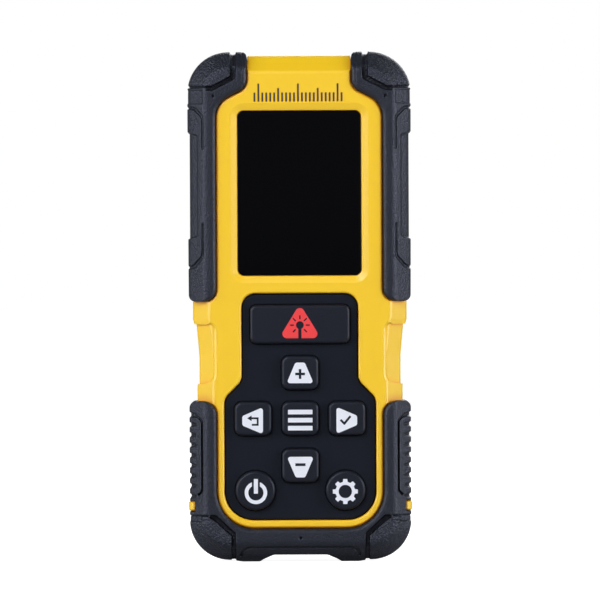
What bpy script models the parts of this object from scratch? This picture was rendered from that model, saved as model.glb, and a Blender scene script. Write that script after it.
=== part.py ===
"""Laser distance meter, modelled as the pieces that it comes apart into on a bench.

The meter stands upright: +Z runs along its length to the laser end, the display and keypad face -Y,
and +X is on the right of someone who looks at them. The origin is under the middle of the foot.
Sizes in this file are millimetres; they become Blender's metres when an object is made.
"""

from math import ceil, cos, pi, radians, sin, tan

import bmesh
import bpy
from mathutils import Matrix, Vector

# ------------------------------------------------------------------ driving dimensions, millimetres

MM = 0.001  # one millimetre in metres
GAP = 0.3  # clear space between two pieces that touch on the real meter
ARC_STEP = radians(22.5)  # the longest arc that one straight edge stands for
WELD = 0.000001  # metres between points that are the same point
FLAT = radians(0.5)  # faces closer to one plane than this become one face

HEIGHT = 125.0  # foot to laser end
HALF_WIDTH = 27.4  # over the rubber bumpers
RUBBER_FACE = 14.0  # distance of the bumpers' front and back faces from the middle plane
SHELL_FACE = 13.2  # the same for the yellow shells
CORE_FACE = 12.0  # the same for the shells where the bumpers cover them
RUBBER_CHAMFER = 4.2
SHELL_CHAMFER = 4.0
CORE_CHAMFER = 2.6
INNER_CHAMFER = 2.0

FRONT_PARTING = 0.0  # the front shell ends here
REAR_PARTING = 0.3  # the rear shell starts here
FRONT_INSIDE = -10.6  # inside face of the front wall
REAR_INSIDE = 11.0  # inside face of the rear wall
BEYOND = 30.0  # a distance that is surely outside the meter

WINDOW_LEDGE = -11.3
WINDOW_FACE = -12.5
WINDOW_BEVEL = 1.7  # width of the sloping frame around the window
LEDGE_WIDTH = 2.0  # how far the window rests on the shell

MAT_FACE = -12.4
MAT_STEP = -10.3
MAT_BACK = -9.4
KEY_FACE = -13.9
KEY_SKIRT = -9.1
KEY_BACK = -8.5
KEY_STUB = -8.25
KEY_CLEARANCE = 0.25
KEY_SKIRT_WIDTH = 0.7

BOARD_FRONT = -7.0
BOARD_BACK = -5.4
DOME_FILM = (-7.35, -7.2)
DOME_TOP = -7.5
CHIP_FOOT = -5.1  # where pieces on the back of the board start

OPTICS_Y = 0.8  # the two optical axes lie in this plane
RECEIVER_X = 3.6
EMITTER_X = -7.4

CELL_X = 5.45
CELL_Y = 4.9
CELL_RADIUS = 5.2
CELL_LENGTH = 44.5
CELL_SHOULDER = 43.7  # without the positive cap

# Rectangles are (left, right, low, high, corner radius).
DOOR = (-12.9, 12.9, 11.1, 64.8, 1.8)
DOOR_INSIDE = 11.7
DOOR_HINGE_Y = 13.2
DOOR_HINGE_Z = 11.4
LATCH = (-4.4, 4.4, 57.6, 64.6, 0.8)
LATCH_LEVELS = (12.6, 13.3)
LATCH_POCKET_FLOOR = 12.3
LABEL = (-14.0, 14.0, 82.0, 103.0, 1.5)
DISPLAY_MODULE = (-15.4, 15.4, 69.4, 111.1, 0.8)
BOARD = (-21.0, 21.0, 9.5, 103.5, 2.0)
BEZEL = (-11.0, 11.0, -7.8, 7.8, 1.8)
BEZEL_LEVELS = (119.4, 123.5)

SOCKET_Z = 74.0  # the tripod socket in the back
SOCKET_RADIUS = 4.6
SOCKET_BORE = 3.2
SOCKET_LEVELS = (5.4, 12.9)

# Outlines are lists of (x, z, corner radius). Those made with mirrored() give the right half only,
# from the top to the bottom.

SILHOUETTE = [  # outer edge of the yellow shells where they show
    (26.3, 124.0, 0), (26.3, 59.2, 0), (25.2, 55.5, 0), (24.65, 50.5, 0), (24.65, 44.3, 0),
    (25.1, 42.8, 0), (25.1, 2.6, 0),
]
SHOWN = [  # the yellow between the bumpers
    (12.5, 127.0, 0), (12.5, 116.0, 3.4), (20.1, 112.1, 5.3), (20.1, 63.5, 3.3), (28.0, 63.5, 0),
    (28.0, 39.7, 0), (20.1, 39.7, 3.7), (20.1, 8.5, 8.9),
]
CORE = [(24.2, 122.8, 8.4), (24.2, 3.0, 8.4)]
CAVITY = [(22.4, 120.6, 6.5), (22.4, 5.0, 6.5)]
RUBBER_ENVELOPE = [(HALF_WIDTH, HEIGHT, 10.2), (HALF_WIDTH, 0.0, 10.2)]
UPPER_BUMPER = [  # the right one, from its top inner corner round the outside
    (12.8, HEIGHT, 1.0), (15.4, HEIGHT, 0), (15.9, 124.3, 0), (16.7, 124.3, 0), (17.1, HEIGHT, 0),
    (HALF_WIDTH, HEIGHT, 10.2), (HALF_WIDTH, 112.6, 0), (26.8, 111.6, 0), (26.8, 111.2, 0),
    (27.3, 110.5, 0), (27.3, 106.0, 0), (26.9, 105.2, 0), (26.9, 79.8, 0), (27.3, 79.0, 0),
    (27.3, 73.6, 0), (26.8, 72.6, 0), (26.8, 71.0, 0), (27.2, 70.4, 0), (27.2, 63.75, 1.4),
    (20.4, 63.75, 3.0), (20.4, 112.25, 5.6), (12.8, 116.15, 3.1),
]
NOTCHES = 9  # in each side of the lower bumper
NOTCH_TOP = 36.15
NOTCH_PITCH = 2.5
NOTCH_ROOT = 26.7
GRIP_CREST = 27.15
LOWER_BUMPER_TOP = [(20.4, 8.2, 9.2), (20.4, 39.45, 3.4), (27.1, 39.45, 1.4)]
LOWER_BUMPER_FOOT = [
    (26.7, 15.1, 0), (26.7, 11.7, 0), (GRIP_CREST, 10.9, 0), (GRIP_CREST, 0.6, 9.8), (16.7, 0.6, 0),
    (16.4, 0.9, 0), (15.6, 0.9, 0), (15.1, 0.5, 0), (14.0, 0.0, 0), (10.0, 0.0, 0), (9.1, 0.6, 0),
    (6.6, 1.7, 1.0),
]
SIDE_RIB = (12.6, 14.8)  # the yellow rib that shows through the side of the lower bumper, along Z
SIDE_RIB_REACH = (27.3, 10.3)

WINDOW = [(15.2, 110.55, 1.6), (15.2, 70.05, 1.6)]
KEYPAD = [(14.3, 65.75, 3.4), (14.3, 44.4, 3.4), (18.6, 40.1, 3.4), (18.6, 10.2, 7.1)]
KEYS = {  # name: (centre x, centre z, width, height, corner radius)
    "measure_key": (0.0, 58.2, 24.4, 9.5, 1.2),
    "plus_key": (0.0, 46.3, 9.0, 8.3, 1.5),
    "back_key": (-11.55, 35.1, 9.0, 8.3, 1.5),
    "menu_key": (0.0, 35.1, 9.0, 8.3, 1.5),
    "ok_key": (11.45, 35.1, 9.0, 8.3, 1.5),
    "minus_key": (0.0, 23.6, 9.0, 8.3, 1.5),
    "power_key": (-11.05, 17.5, 9.7, 9.7, 4.85),
    "settings_key": (11.05, 17.5, 9.7, 9.7, 4.85),
}

CASE_SCREWS = [  # (name, x, z, depth of the head's seat, does it pass through the board)
    ("case_screw_top", 17.5, 106.0, 11.6, False),
    ("case_screw_middle", 17.5, 66.8, 11.6, True),
    ("case_screw_bottom", 12.0, 6.9, 11.4, False),
]
BOARD_SCREW = (17.6, 88.0)
BOSS_RADIUS = 2.0
PILOT_RADIUS = 1.3
SHANK_RADIUS = 1.0
HEAD_RADIUS = 1.75
HEAD_HEIGHT = 1.2
HEAD_HOLE_RADIUS = 2.1

# Colour, roughness and metallic value of each material.
FINISHES = {
    "yellow_plastic": ((0.93, 0.53, 0.01), 0.45, 0.0),
    "black_rubber": ((0.02, 0.021, 0.023), 0.75, 0.0),
    "keypad_rubber": ((0.018, 0.019, 0.021), 0.7, 0.0),
    "display_glass": ((0.005, 0.005, 0.006), 0.06, 0.0),
    "optical_glass": ((0.6, 0.7, 0.75), 0.03, 0.0),
    "red_filter": ((0.25, 0.02, 0.02), 0.05, 0.0),
    "black_plastic": ((0.03, 0.03, 0.032), 0.5, 0.0),
    "circuit_board": ((0.02, 0.16, 0.06), 0.45, 0.0),
    "brass": ((0.78, 0.57, 0.24), 0.3, 1.0),
    "steel": ((0.62, 0.62, 0.63), 0.35, 1.0),
    "cell_jacket": ((0.08, 0.09, 0.1), 0.4, 0.0),
    "seal_rubber": ((0.05, 0.05, 0.055), 0.8, 0.0),
    "polyester_film": ((0.75, 0.7, 0.55), 0.35, 0.0),
    "amber_flex": ((0.6, 0.28, 0.05), 0.4, 0.0),
    "label_metal": ((0.5, 0.5, 0.52), 0.4, 0.8),
}

# ------------------------------------------------------------------ scene, materials, collections


def clear_scene():
    """Start from nothing."""
    for thing in list(bpy.data.objects):
        bpy.data.objects.remove(thing)
    for group in list(bpy.data.collections):
        bpy.data.collections.remove(group)


def new_collection(name):
    group = bpy.data.collections.new(name)
    bpy.context.scene.collection.children.link(group)
    return group


clear_scene()
PARTS = new_collection("laser_distance_meter")
CUTTERS = new_collection("cutters")


def finish(piece, finish_name):
    """Give a piece its material and smooth round faces."""
    material = bpy.data.materials.get(finish_name)
    if material is None:
        colour, roughness, metallic = FINISHES[finish_name]
        material = bpy.data.materials.new(finish_name)
        material.use_nodes = True
        shader = material.node_tree.nodes["Principled BSDF"]
        shader.inputs["Base Color"].default_value = (*colour, 1.0)
        shader.inputs["Roughness"].default_value = roughness
        shader.inputs["Metallic"].default_value = metallic
    piece.data.materials.clear()
    piece.data.materials.append(material)
    piece.data.shade_smooth()
    piece.data.set_sharp_from_angle(angle=radians(35))
    return piece


# ------------------------------------------------------------------ outlines


def rounded(corners):
    """The closed outline through (x, z, radius) corners, each turned into an arc of its radius."""
    outline = []
    for index, (x, z, radius) in enumerate(corners):
        corner = Vector((x, z))
        back = (Vector(corners[index - 1][:2]) - corner).normalized()
        ahead = (Vector(corners[(index + 1) % len(corners)][:2]) - corner).normalized()
        turn = pi - back.angle(ahead)
        if radius == 0 or turn < FLAT:
            outline.append(corner)
            continue
        centre = corner + (back + ahead).normalized() * radius / cos(turn / 2)
        spoke = corner + back * radius * tan(turn / 2) - centre
        sense = 1 if back.y * ahead.x > back.x * ahead.y else -1
        edges = max(2, ceil(turn / ARC_STEP))
        for step in range(edges + 1):
            angle = sense * turn * step / edges
            outline.append(centre + Matrix.Rotation(angle, 2) @ spoke)
    return [point for index, point in enumerate(outline) if (point - outline[index - 1]).length > 0.001]


def mirrored(half):
    """The whole closed outline of which the right half is given, from the top to the bottom."""
    return rounded(half + [(-x, z, radius) for x, z, radius in reversed(half)])


def rectangle(left, right, low, high, radius=0.0):
    return rounded([(left, low, radius), (right, low, radius), (right, high, radius), (left, high, radius)])


def grown(outline, distance):
    """The outline moved outwards by a distance, or inwards by a negative one, point for point."""
    count = len(outline)
    area = sum(outline[i - 1].x * outline[i].y - outline[i].x * outline[i - 1].y for i in range(count))
    outside = 1 if area > 0 else -1
    moved = []
    for index, point in enumerate(outline):
        into = (point - outline[index - 1]).normalized()
        away = (outline[(index + 1) % count] - point).normalized()
        normal = Vector((into.y + away.y, -into.x - away.x)) * outside
        normal.normalize()
        lean = Vector((into.y, -into.x)).dot(normal) * outside
        moved.append(point + normal * distance / lean)
    return moved


# ------------------------------------------------------------------ solids

TURNS = {  # where an outline's two directions and its thickness point, for each axis of thickness
    "X": Matrix(((0, 0, 1), (1, 0, 0), (0, 1, 0))),
    "Y": Matrix(((1, 0, 0), (0, 0, -1), (0, 1, 0))),
    "Z": Matrix.Identity(3),
}


def placed(axis, level, centre=(0.0, 0.0)):
    """The place of a piece whose thickness runs along axis and whose middle is at level there."""
    first, second = centre
    spots = {"X": (level, first, second), "Y": (first, level, second), "Z": (first, second, level)}
    return Matrix.Translation(Vector(spots[axis]) * MM) @ TURNS[axis].to_4x4()


def new_piece(name, mesh, place):
    piece = bpy.data.objects.new(name, mesh)
    piece.matrix_world = place
    PARTS.objects.link(piece)
    return piece


def mesh_from_curve(curve, place):
    """Turn a curve into a welded mesh object in the same place."""
    name = curve.name
    guide = bpy.data.objects.new(name + "_guide", curve)
    guide.matrix_world = place
    PARTS.objects.link(guide)
    bpy.context.view_layer.update()
    depsgraph = bpy.context.evaluated_depsgraph_get()
    mesh = bpy.data.meshes.new_from_object(guide.evaluated_get(depsgraph))
    mesh.name = name
    shape = bmesh.new()
    shape.from_mesh(mesh)
    bmesh.ops.remove_doubles(shape, verts=shape.verts, dist=WELD)
    bmesh.ops.dissolve_limit(shape, angle_limit=FLAT, verts=shape.verts, edges=shape.edges)
    bmesh.ops.recalc_face_normals(shape, faces=shape.faces)
    shape.to_mesh(mesh)
    shape.free()
    piece = new_piece(name, mesh, guide.matrix_world)
    bpy.data.objects.remove(guide)
    return piece


def plate(name, outline, low, high, axis="Y"):
    """A flat piece with the given outline, from low to high along axis."""
    curve = bpy.data.curves.new(name, "CURVE")
    curve.dimensions = "2D"
    curve.fill_mode = "BOTH"
    curve.extrude = (high - low) / 2 * MM
    spline = curve.splines.new("POLY")
    spline.points.add(len(outline) - 1)
    for point, place in zip(spline.points, outline):
        point.co = (place[0] * MM, place[1] * MM, 0, 1)
    spline.use_cyclic_u = True
    return mesh_from_curve(curve, placed(axis, (low + high) / 2))


def box(name, low, high):
    """A box between two opposite corners."""
    size = (Vector(high) - Vector(low)) * MM
    shape = bmesh.new()
    bmesh.ops.create_cube(shape, size=1.0)
    bmesh.ops.scale(shape, vec=size, verts=shape.verts)
    mesh = bpy.data.meshes.new(name)
    shape.to_mesh(mesh)
    shape.free()
    return new_piece(name, mesh, Matrix.Translation((Vector(low) + Vector(high)) / 2 * MM))


def cylinder(name, centre, radius, low, high, axis="Y", sides=16):
    """A round bar from low to high along axis, about a centre in the other two directions."""
    shape = bmesh.new()
    depth = (high - low) * MM
    bmesh.ops.create_cone(
        shape, cap_ends=True, segments=sides, radius1=radius * MM, radius2=radius * MM, depth=depth
    )
    mesh = bpy.data.meshes.new(name)
    shape.to_mesh(mesh)
    shape.free()
    return new_piece(name, mesh, placed(axis, (low + high) / 2, centre))


def turned(name, profile, centre, steps=24):
    """A piece turned about an upright axis; its profile is (radius, z) from the top to the bottom."""
    points = [(radius * MM, 0, z * MM) for radius, z in profile]
    edges = [(index, index + 1) for index in range(len(points) - 1)]
    mesh = bpy.data.meshes.new(name)
    mesh.from_pydata(points, edges, [])
    piece = new_piece(name, mesh, Matrix.Translation((centre[0] * MM, centre[1] * MM, 0)))
    screw = piece.modifiers.new("turn", "SCREW")
    screw.steps = screw.render_steps = steps
    screw.use_merge_vertices = True
    screw.merge_threshold = WELD
    screw.use_smooth_shade = True
    return piece


def loft(name, rings):
    """A solid through (y, outline) rings that all have the same number of points."""
    shape = bmesh.new()
    loops = [[shape.verts.new((p[0] * MM, y * MM, p[1] * MM)) for p in outline] for y, outline in rings]
    count = len(loops[0])
    for near, far in zip(loops, loops[1:]):
        for index in range(count):
            after = (index + 1) % count
            shape.faces.new((near[index], near[after], far[after], far[index]))
    shape.faces.new(loops[0])
    shape.faces.new(loops[-1])
    bmesh.ops.recalc_face_normals(shape, faces=shape.faces)
    mesh = bpy.data.meshes.new(name)
    shape.to_mesh(mesh)
    shape.free()
    return new_piece(name, mesh, Matrix.Identity(4))


def bevel_rims(piece, widths, segments=1):
    """Bevel the rims that lie at the given levels along Y; widths is {level: width}."""
    mesh = piece.data
    weights = mesh.attributes.new("bevel_weight_edge", "FLOAT", "EDGE")
    widest = max(widths.values())
    heights = [(piece.matrix_world @ vertex.co).y / MM for vertex in mesh.vertices]
    for edge in mesh.edges:
        first, second = (heights[vertex] for vertex in edge.vertices)
        for level, width in widths.items():
            if max(abs(first - level), abs(second - level)) < 0.001:
                weights.data[edge.index].value = width / widest
    bevel = piece.modifiers.new("bevel", "BEVEL")
    bevel.limit_method = "WEIGHT"
    bevel.width = widest * MM
    bevel.segments = segments
    bevel.use_clamp_overlap = False
    return piece


def combine(piece, operation, tools):
    """Join, cut or intersect a piece with tools, which become hidden guides."""
    for tool in tools:
        change = piece.modifiers.new(tool.name, "BOOLEAN")
        change.operation = operation
        change.object = tool
        PARTS.objects.unlink(tool)
        CUTTERS.objects.link(tool)
        tool.hide_render = True
        tool.display_type = "WIRE"
    return piece


def join(piece, *tools):
    return combine(piece, "UNION", tools)


def cut(piece, *tools):
    return combine(piece, "DIFFERENCE", tools)


def keep(piece, *tools):
    return combine(piece, "INTERSECT", tools)


def on_axis(name, pieces, place):
    """Parent moving pieces to an empty on their joint's axis, leaving them where they are."""
    empty = bpy.data.objects.new(name, None)
    empty.empty_display_size = 0.004
    empty.location = Vector(place) * MM
    PARTS.objects.link(empty)
    bpy.context.view_layer.update()
    for piece in pieces:
        piece.parent = empty
        piece.matrix_parent_inverse = empty.matrix_world.inverted()
    return empty


# ------------------------------------------------------------------ casing


def casing_half(name, side, parting):
    """Half of the casing before it is hollowed; side is -1 for the front and 1 for the back."""
    face = side * SHELL_FACE
    core_face = side * CORE_FACE
    past = parting - side
    body = plate(name, mirrored(SILHOUETTE), *sorted((face, past)))
    bevel_rims(body, {face: SHELL_CHAMFER})
    shown = plate(name + "_shown", mirrored(SHOWN), -BEYOND, BEYOND)
    core = plate(name + "_core", mirrored(CORE), *sorted((core_face, past - side)))
    bevel_rims(core, {core_face: CORE_CHAMFER})
    low, high = SIDE_RIB
    reach, depth = SIDE_RIB_REACH
    ribs = []
    for sign, hand in ((-1, "left"), (1, "right")):
        across = sorted((sign * (CORE[0][0] - 1.0), sign * reach))
        along = sorted((side * depth, past - 2 * side))
        rib = box(f"{name}_rib_{hand}", (across[0], along[0], low), (across[1], along[1], high))
        ribs.append(rib)
    ends = sorted((parting, -side * BEYOND))
    other_half = box(name + "_other_half", (-BEYOND, ends[0], -BEYOND), (BEYOND, ends[1], HEIGHT + BEYOND))
    keep(body, shown)
    join(body, core, *ribs)
    return cut(body, other_half)


def hollow(name, side, parting):
    """The space inside half of the casing, and its share of the groove for the seal."""
    inside = FRONT_INSIDE if side < 0 else REAR_INSIDE
    past = parting - side
    space = plate(name + "_space", mirrored(CAVITY), *sorted((inside, past)))
    bevel_rims(space, {inside: INNER_CHAMFER})
    groove_outline = grown(mirrored(CAVITY), 1.1)
    groove = plate(name + "_groove", groove_outline, *sorted((parting + side * 0.7, past)))
    return space, groove


def top_opening(name):
    """The way out for the light at the laser end, cut in both shells."""
    return plate(name + "_top_opening", rectangle(-11.2, 11.2, -8.0, 8.0, 2.0), 118.0, 128.0, axis="Z")


def front_shell():
    shell = casing_half("front_shell", -1, FRONT_PARTING)
    cut(shell, *hollow("front_shell", -1, FRONT_PARTING))
    bosses = []
    pilots = []
    for name, x, z, _, through_board in CASE_SCREWS:
        for sign in (-1, 1):
            end = BOARD_FRONT - 0.2 if through_board else FRONT_PARTING - 0.2
            label = f"front_{name}_{'left' if sign < 0 else 'right'}"
            bosses.append(cylinder(label + "_boss", (sign * x, z), BOSS_RADIUS, FRONT_INSIDE - 1, end))
            pilots.append(cylinder(label + "_pilot", (sign * x, z), PILOT_RADIUS, -9.6, end + 1, sides=10))
    for sign in (-1, 1):
        x, z = BOARD_SCREW
        label = f"front_board_{'left' if sign < 0 else 'right'}"
        end = BOARD_FRONT - 0.2
        bosses.append(cylinder(label + "_boss", (sign * x, z), BOSS_RADIUS, FRONT_INSIDE - 1, end))
        pilots.append(cylinder(label + "_pilot", (sign * x, z), PILOT_RADIUS, -9.6, end + 1, sides=10))
    join(shell, *bosses)
    window = mirrored(WINDOW)
    slope = WINDOW_BEVEL / (SHELL_FACE + WINDOW_FACE)
    past = SHELL_FACE + 0.3
    mouth = grown(window, slope * (past + WINDOW_FACE))
    frame = loft("window_slope", [(-past, mouth), (WINDOW_FACE, window)])
    pocket = plate("window_pocket", window, WINDOW_FACE - 0.1, WINDOW_LEDGE)
    sight = plate("window_sight", grown(window, -LEDGE_WIDTH + 0.6), WINDOW_LEDGE - 0.1, FRONT_INSIDE + 0.5)
    keypad = plate("keypad_opening", mirrored(KEYPAD), -SHELL_FACE - 1, FRONT_INSIDE + 0.5)
    cut(shell, frame, pocket, sight, keypad, top_opening("front"), *pilots)
    return finish(shell, "yellow_plastic")


def rear_shell():
    shell = casing_half("rear_shell", 1, REAR_PARTING)
    cut(shell, *hollow("rear_shell", 1, REAR_PARTING))
    bosses = []
    holes = []
    for name, x, z, seat, through_board in CASE_SCREWS:
        for sign in (-1, 1):
            end = BOARD_BACK + 0.2 if through_board else REAR_PARTING
            label = f"rear_{name}_{'left' if sign < 0 else 'right'}"
            place = (sign * x, z)
            bosses.append(cylinder(label + "_boss", place, BOSS_RADIUS, end, REAR_INSIDE + 0.25))
            holes.append(cylinder(label + "_hole", place, PILOT_RADIUS, end - 1, seat + 0.1, sides=10))
            holes.append(cylinder(label + "_head_hole", place, HEAD_HOLE_RADIUS, seat, BEYOND))
    bay_box = box("battery_bay_box", (-13.3, -2.1, 9.6), (13.3, 11.5, 66.4))
    socket_boss = cylinder("socket_boss", (0, SOCKET_Z), 6.2, 4.0, 12.0)
    join(shell, *bosses, bay_box, socket_boss)
    bay = box("battery_bay", (-11.2, -0.9, 13.4), (11.2, BEYOND, 62.0))
    rebate = plate("door_rebate", grown(rectangle(*DOOR), 0.2), 10.9, BEYOND)
    catch = box("latch_catch", (-4.7, LATCH_POCKET_FLOOR, 64.0), (4.7, BEYOND, 66.6))
    tab_pockets = [box(f"tab_pocket_{n}", (x, 9.4, 9.3), (x + 5.6, 11.2, 14.9)) for n, x in
                   (("left", -8.8), ("right", 3.2))]
    socket = cylinder("socket_pocket", (0, SOCKET_Z), SOCKET_RADIUS + GAP, SOCKET_LEVELS[0] - GAP, BEYOND)
    label = plate("label_recess", grown(rectangle(*LABEL), GAP), 12.5, BEYOND)
    cut(shell, bay, rebate, catch, *tab_pockets, socket, label, top_opening("rear"), *holes)
    return finish(shell, "yellow_plastic")


def shell_seal():
    """The rubber cord in the groove between the shells, open at the laser end for the bezel."""
    edge = mirrored(CAVITY)
    seal = plate("shell_seal", grown(edge, 0.85), -0.5, 0.8)
    inside = plate("shell_seal_inside", grown(edge, 0.15), -2, 2)
    bezel_gap = box("shell_seal_gap", (-12.2, -3, 115.0), (12.2, 3, 126.0))
    return finish(cut(seal, inside, bezel_gap), "seal_rubber")


def rubber(name, corners):
    """A bumper: its outline through the whole depth, chamfered outside and hollow for the core."""
    bumper = plate(name, rounded(corners), -RUBBER_FACE, RUBBER_FACE)
    envelope = plate(name + "_envelope", mirrored(RUBBER_ENVELOPE), -RUBBER_FACE, RUBBER_FACE)
    bevel_rims(envelope, {-RUBBER_FACE: RUBBER_CHAMFER, RUBBER_FACE: RUBBER_CHAMFER})
    depth = CORE_FACE + 0.25
    core = plate(name + "_core", grown(mirrored(CORE), 0.25), -depth, depth)
    bevel_rims(core, {-depth: CORE_CHAMFER, depth: CORE_CHAMFER})
    return cut(keep(bumper, envelope), core)


def upper_bumpers():
    left = [(-x, z, radius) for x, z, radius in reversed(UPPER_BUMPER)]
    finish(rubber("bumper_upper_right", UPPER_BUMPER), "black_rubber")
    finish(rubber("bumper_upper_left", left), "black_rubber")


def grip_notches():
    """The corners of the notches in the right side, from the top one to the bottom one."""
    corners = []
    for number in range(NOTCHES):
        middle = NOTCH_TOP - number * NOTCH_PITCH
        corners.append((GRIP_CREST, middle + 0.75, 0))
        corners.append((NOTCH_ROOT, middle + 0.2, 0))
        corners.append((NOTCH_ROOT, middle - 0.2, 0))
        corners.append((GRIP_CREST, middle - 0.75, 0))
    return corners


def lower_bumper():
    half = LOWER_BUMPER_TOP + grip_notches() + LOWER_BUMPER_FOOT
    left = [(-x, z, radius) for x, z, radius in reversed(half)]
    bumper = rubber("bumper_lower", half + left)
    low, high = SIDE_RIB
    depth = SIDE_RIB_REACH[1] + GAP
    slots = [box(f"rib_slot_{n}", (x, -depth, low - 0.25), (x + 8, depth, high + 0.25)) for n, x in
             (("left", -31.5), ("right", 23.5))]
    _, x, z, _, _ = CASE_SCREWS[-1]
    access = [cylinder(f"screw_access_{n}", (s * x, z), 2.3, 8.0, BEYOND) for n, s in
              (("left", -1), ("right", 1))]
    return finish(cut(bumper, *slots, *access), "black_rubber")


# ------------------------------------------------------------------ display and keypad


def display():
    window = mirrored(WINDOW)
    pane = plate("display_window", grown(window, -0.2), WINDOW_FACE, WINDOW_LEDGE - GAP)
    finish(pane, "display_glass")
    gasket = plate("display_gasket", grown(window, -0.1), -10.35, -10.05)
    sight = plate("display_gasket_sight", grown(window, -LEDGE_WIDTH + 0.6), -12, -9)
    finish(cut(gasket, sight), "seal_rubber")
    module = plate("lcd_module", rectangle(*DISPLAY_MODULE), -9.8, -7.3)
    finish(bevel_rims(module, {-9.8: 0.4}), "display_glass")
    connector = box("flex_connector", (-7.0, -8.1, 64.1), (7.0, -7.2, 66.1))
    finish(connector, "black_plastic")
    route = [(-8.75, 69.2), (-8.75, 68.6), (-8.6, 67.7), (-8.2, 67.0), (-7.85, 66.55), (-7.6, 66.35)]
    middle = [Vector(point) for point in route]
    flex_outline = middle + [point + Vector((0.12, 0.12)) for point in reversed(middle)]
    flex = plate("display_flex", flex_outline, -5.5, 5.5, axis="X")
    finish(flex, "amber_flex")


def keypad_mat():
    outline = mirrored(KEYPAD)
    mat = plate("keypad_mat", grown(outline, -0.2), MAT_FACE, MAT_STEP)
    bevel_rims(mat, {MAT_FACE: 0.4})
    flange = plate("keypad_mat_flange", grown(outline, 1.0), MAT_STEP - 0.05, MAT_BACK)
    holes = [plate(name + "_hole", grown(key_outline(name), KEY_CLEARANCE), -15, -5) for name in KEYS]
    return finish(cut(join(mat, flange), *holes), "keypad_rubber")


def key_outline(name):
    x, z, width, height, radius = KEYS[name]
    return rectangle(x - width / 2, x + width / 2, z - height / 2, z + height / 2, radius)


def key(name):
    """One key: the cap, the skirt that holds it behind the mat and the stub that presses its dome."""
    x, z, _, _, _ = KEYS[name]
    outline = key_outline(name)
    cap = plate(name, outline, KEY_FACE, KEY_SKIRT)
    bevel_rims(cap, {KEY_FACE: 0.8}, segments=2)
    skirt = plate(name + "_skirt", grown(outline, KEY_SKIRT_WIDTH), KEY_SKIRT - 0.05, KEY_BACK)
    stub = cylinder(name + "_stub", (x, z), 1.3, KEY_BACK - 0.1, KEY_STUB, sides=10)
    finish(join(cap, skirt, stub), "keypad_rubber")
    on_axis(name + "_slide", [cap], (x, KEY_FACE, z))


# ------------------------------------------------------------------ electronics


def electronics():
    board = plate("main_board", rectangle(*BOARD), BOARD_FRONT, BOARD_BACK)
    holes = []
    for place in ((CASE_SCREWS[1][1], CASE_SCREWS[1][2]), BOARD_SCREW):
        for sign in (-1, 1):
            hole = f"board_hole_{place[1]:.0f}_{'left' if sign < 0 else 'right'}"
            holes.append(cylinder(hole, (sign * place[0], place[1]), 1.5, -9, -3, sides=16))
    finish(cut(board, *holes), "circuit_board")
    sheet = plate("dome_sheet", rectangle(-17.6, 17.6, 11.6, 62.3, 5.0), *DOME_FILM)
    domes = []
    for name, (x, z, _, _, _) in KEYS.items():
        domes.append(cylinder(name + "_dome", (x, z), 2.4, DOME_TOP, DOME_FILM[0] + 0.05, sides=16))
    finish(join(sheet, *domes), "polyester_film")
    chip = box("processor_chip", (4.0, CHIP_FOOT, 69.5), (12.0, CHIP_FOOT + 1.0, 77.5))
    finish(chip, "black_plastic")
    can = box("shield_can", (-12.0, CHIP_FOOT, 69.0), (2.0, CHIP_FOOT + 1.8, 81.0))
    finish(can, "steel")
    buzzer = cylinder("buzzer", (18.0, 96.5), 3.9, CHIP_FOOT, CHIP_FOOT + 3.0, sides=24)
    sound_hole = cylinder("buzzer_hole", (18.0, 96.5), 0.8, CHIP_FOOT + 1.5, 3.0, sides=10)
    finish(cut(buzzer, sound_hole), "black_plastic")


# ------------------------------------------------------------------ optics


def optics():
    chassis = box("optics_chassis", (-13.6, -4.8, 84.0), (13.6, 9.6, 106.0))
    head = box("optics_head", (-13.6, -6.8, 104.0), (13.6, 9.6, 119.2))
    receiver = (RECEIVER_X, OPTICS_Y)
    emitter = (EMITTER_X, OPTICS_Y)
    bores = [
        cylinder("lens_bore", receiver, 6.2, 111.0, 125.0, axis="Z", sides=28),
        cylinder("light_bore", receiver, 4.6, 98.0, 112.0, axis="Z", sides=24),
        cylinder("sensor_bore", receiver, 2.6, 80.0, 99.0, axis="Z", sides=20),
        cylinder("laser_bore", emitter, 2.9, 95.6, 125.0, axis="Z", sides=20),
        cylinder("laser_wire_bore", emitter, 1.5, 80.0, 96.0, axis="Z", sides=10),
    ]
    finish(cut(join(chassis, head), *bores), "black_plastic")
    big_lens = [(0, 115.6), (2.0, 115.45), (4.0, 115.0), (5.9, 114.2), (5.9, 112.2), (0, 112.2)]
    finish(turned("receiver_lens", big_lens, receiver), "optical_glass")
    small_lens = [(0, 115.4), (1.3, 115.2), (2.5, 114.6), (2.5, 113.2), (0, 113.2)]
    finish(turned("emitter_lens", small_lens, emitter, steps=20), "optical_glass")
    barrel = [(0, 107.6), (1.3, 107.6), (1.3, 107.0), (2.6, 107.0), (2.6, 96.0), (0, 96.0)]
    finish(turned("laser_module", barrel, emitter, steps=20), "brass")
    sensor = [(0, 87.0), (2.1, 87.0), (2.1, 84.4), (2.3, 84.4), (2.3, 84.0), (0, 84.0)]
    finish(turned("receiver_sensor", sensor, receiver, steps=20), "steel")
    finish(box("sensor_board", (-2.4, -4.5, 82.3), (9.6, 6.1, 83.7)), "circuit_board")


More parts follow.
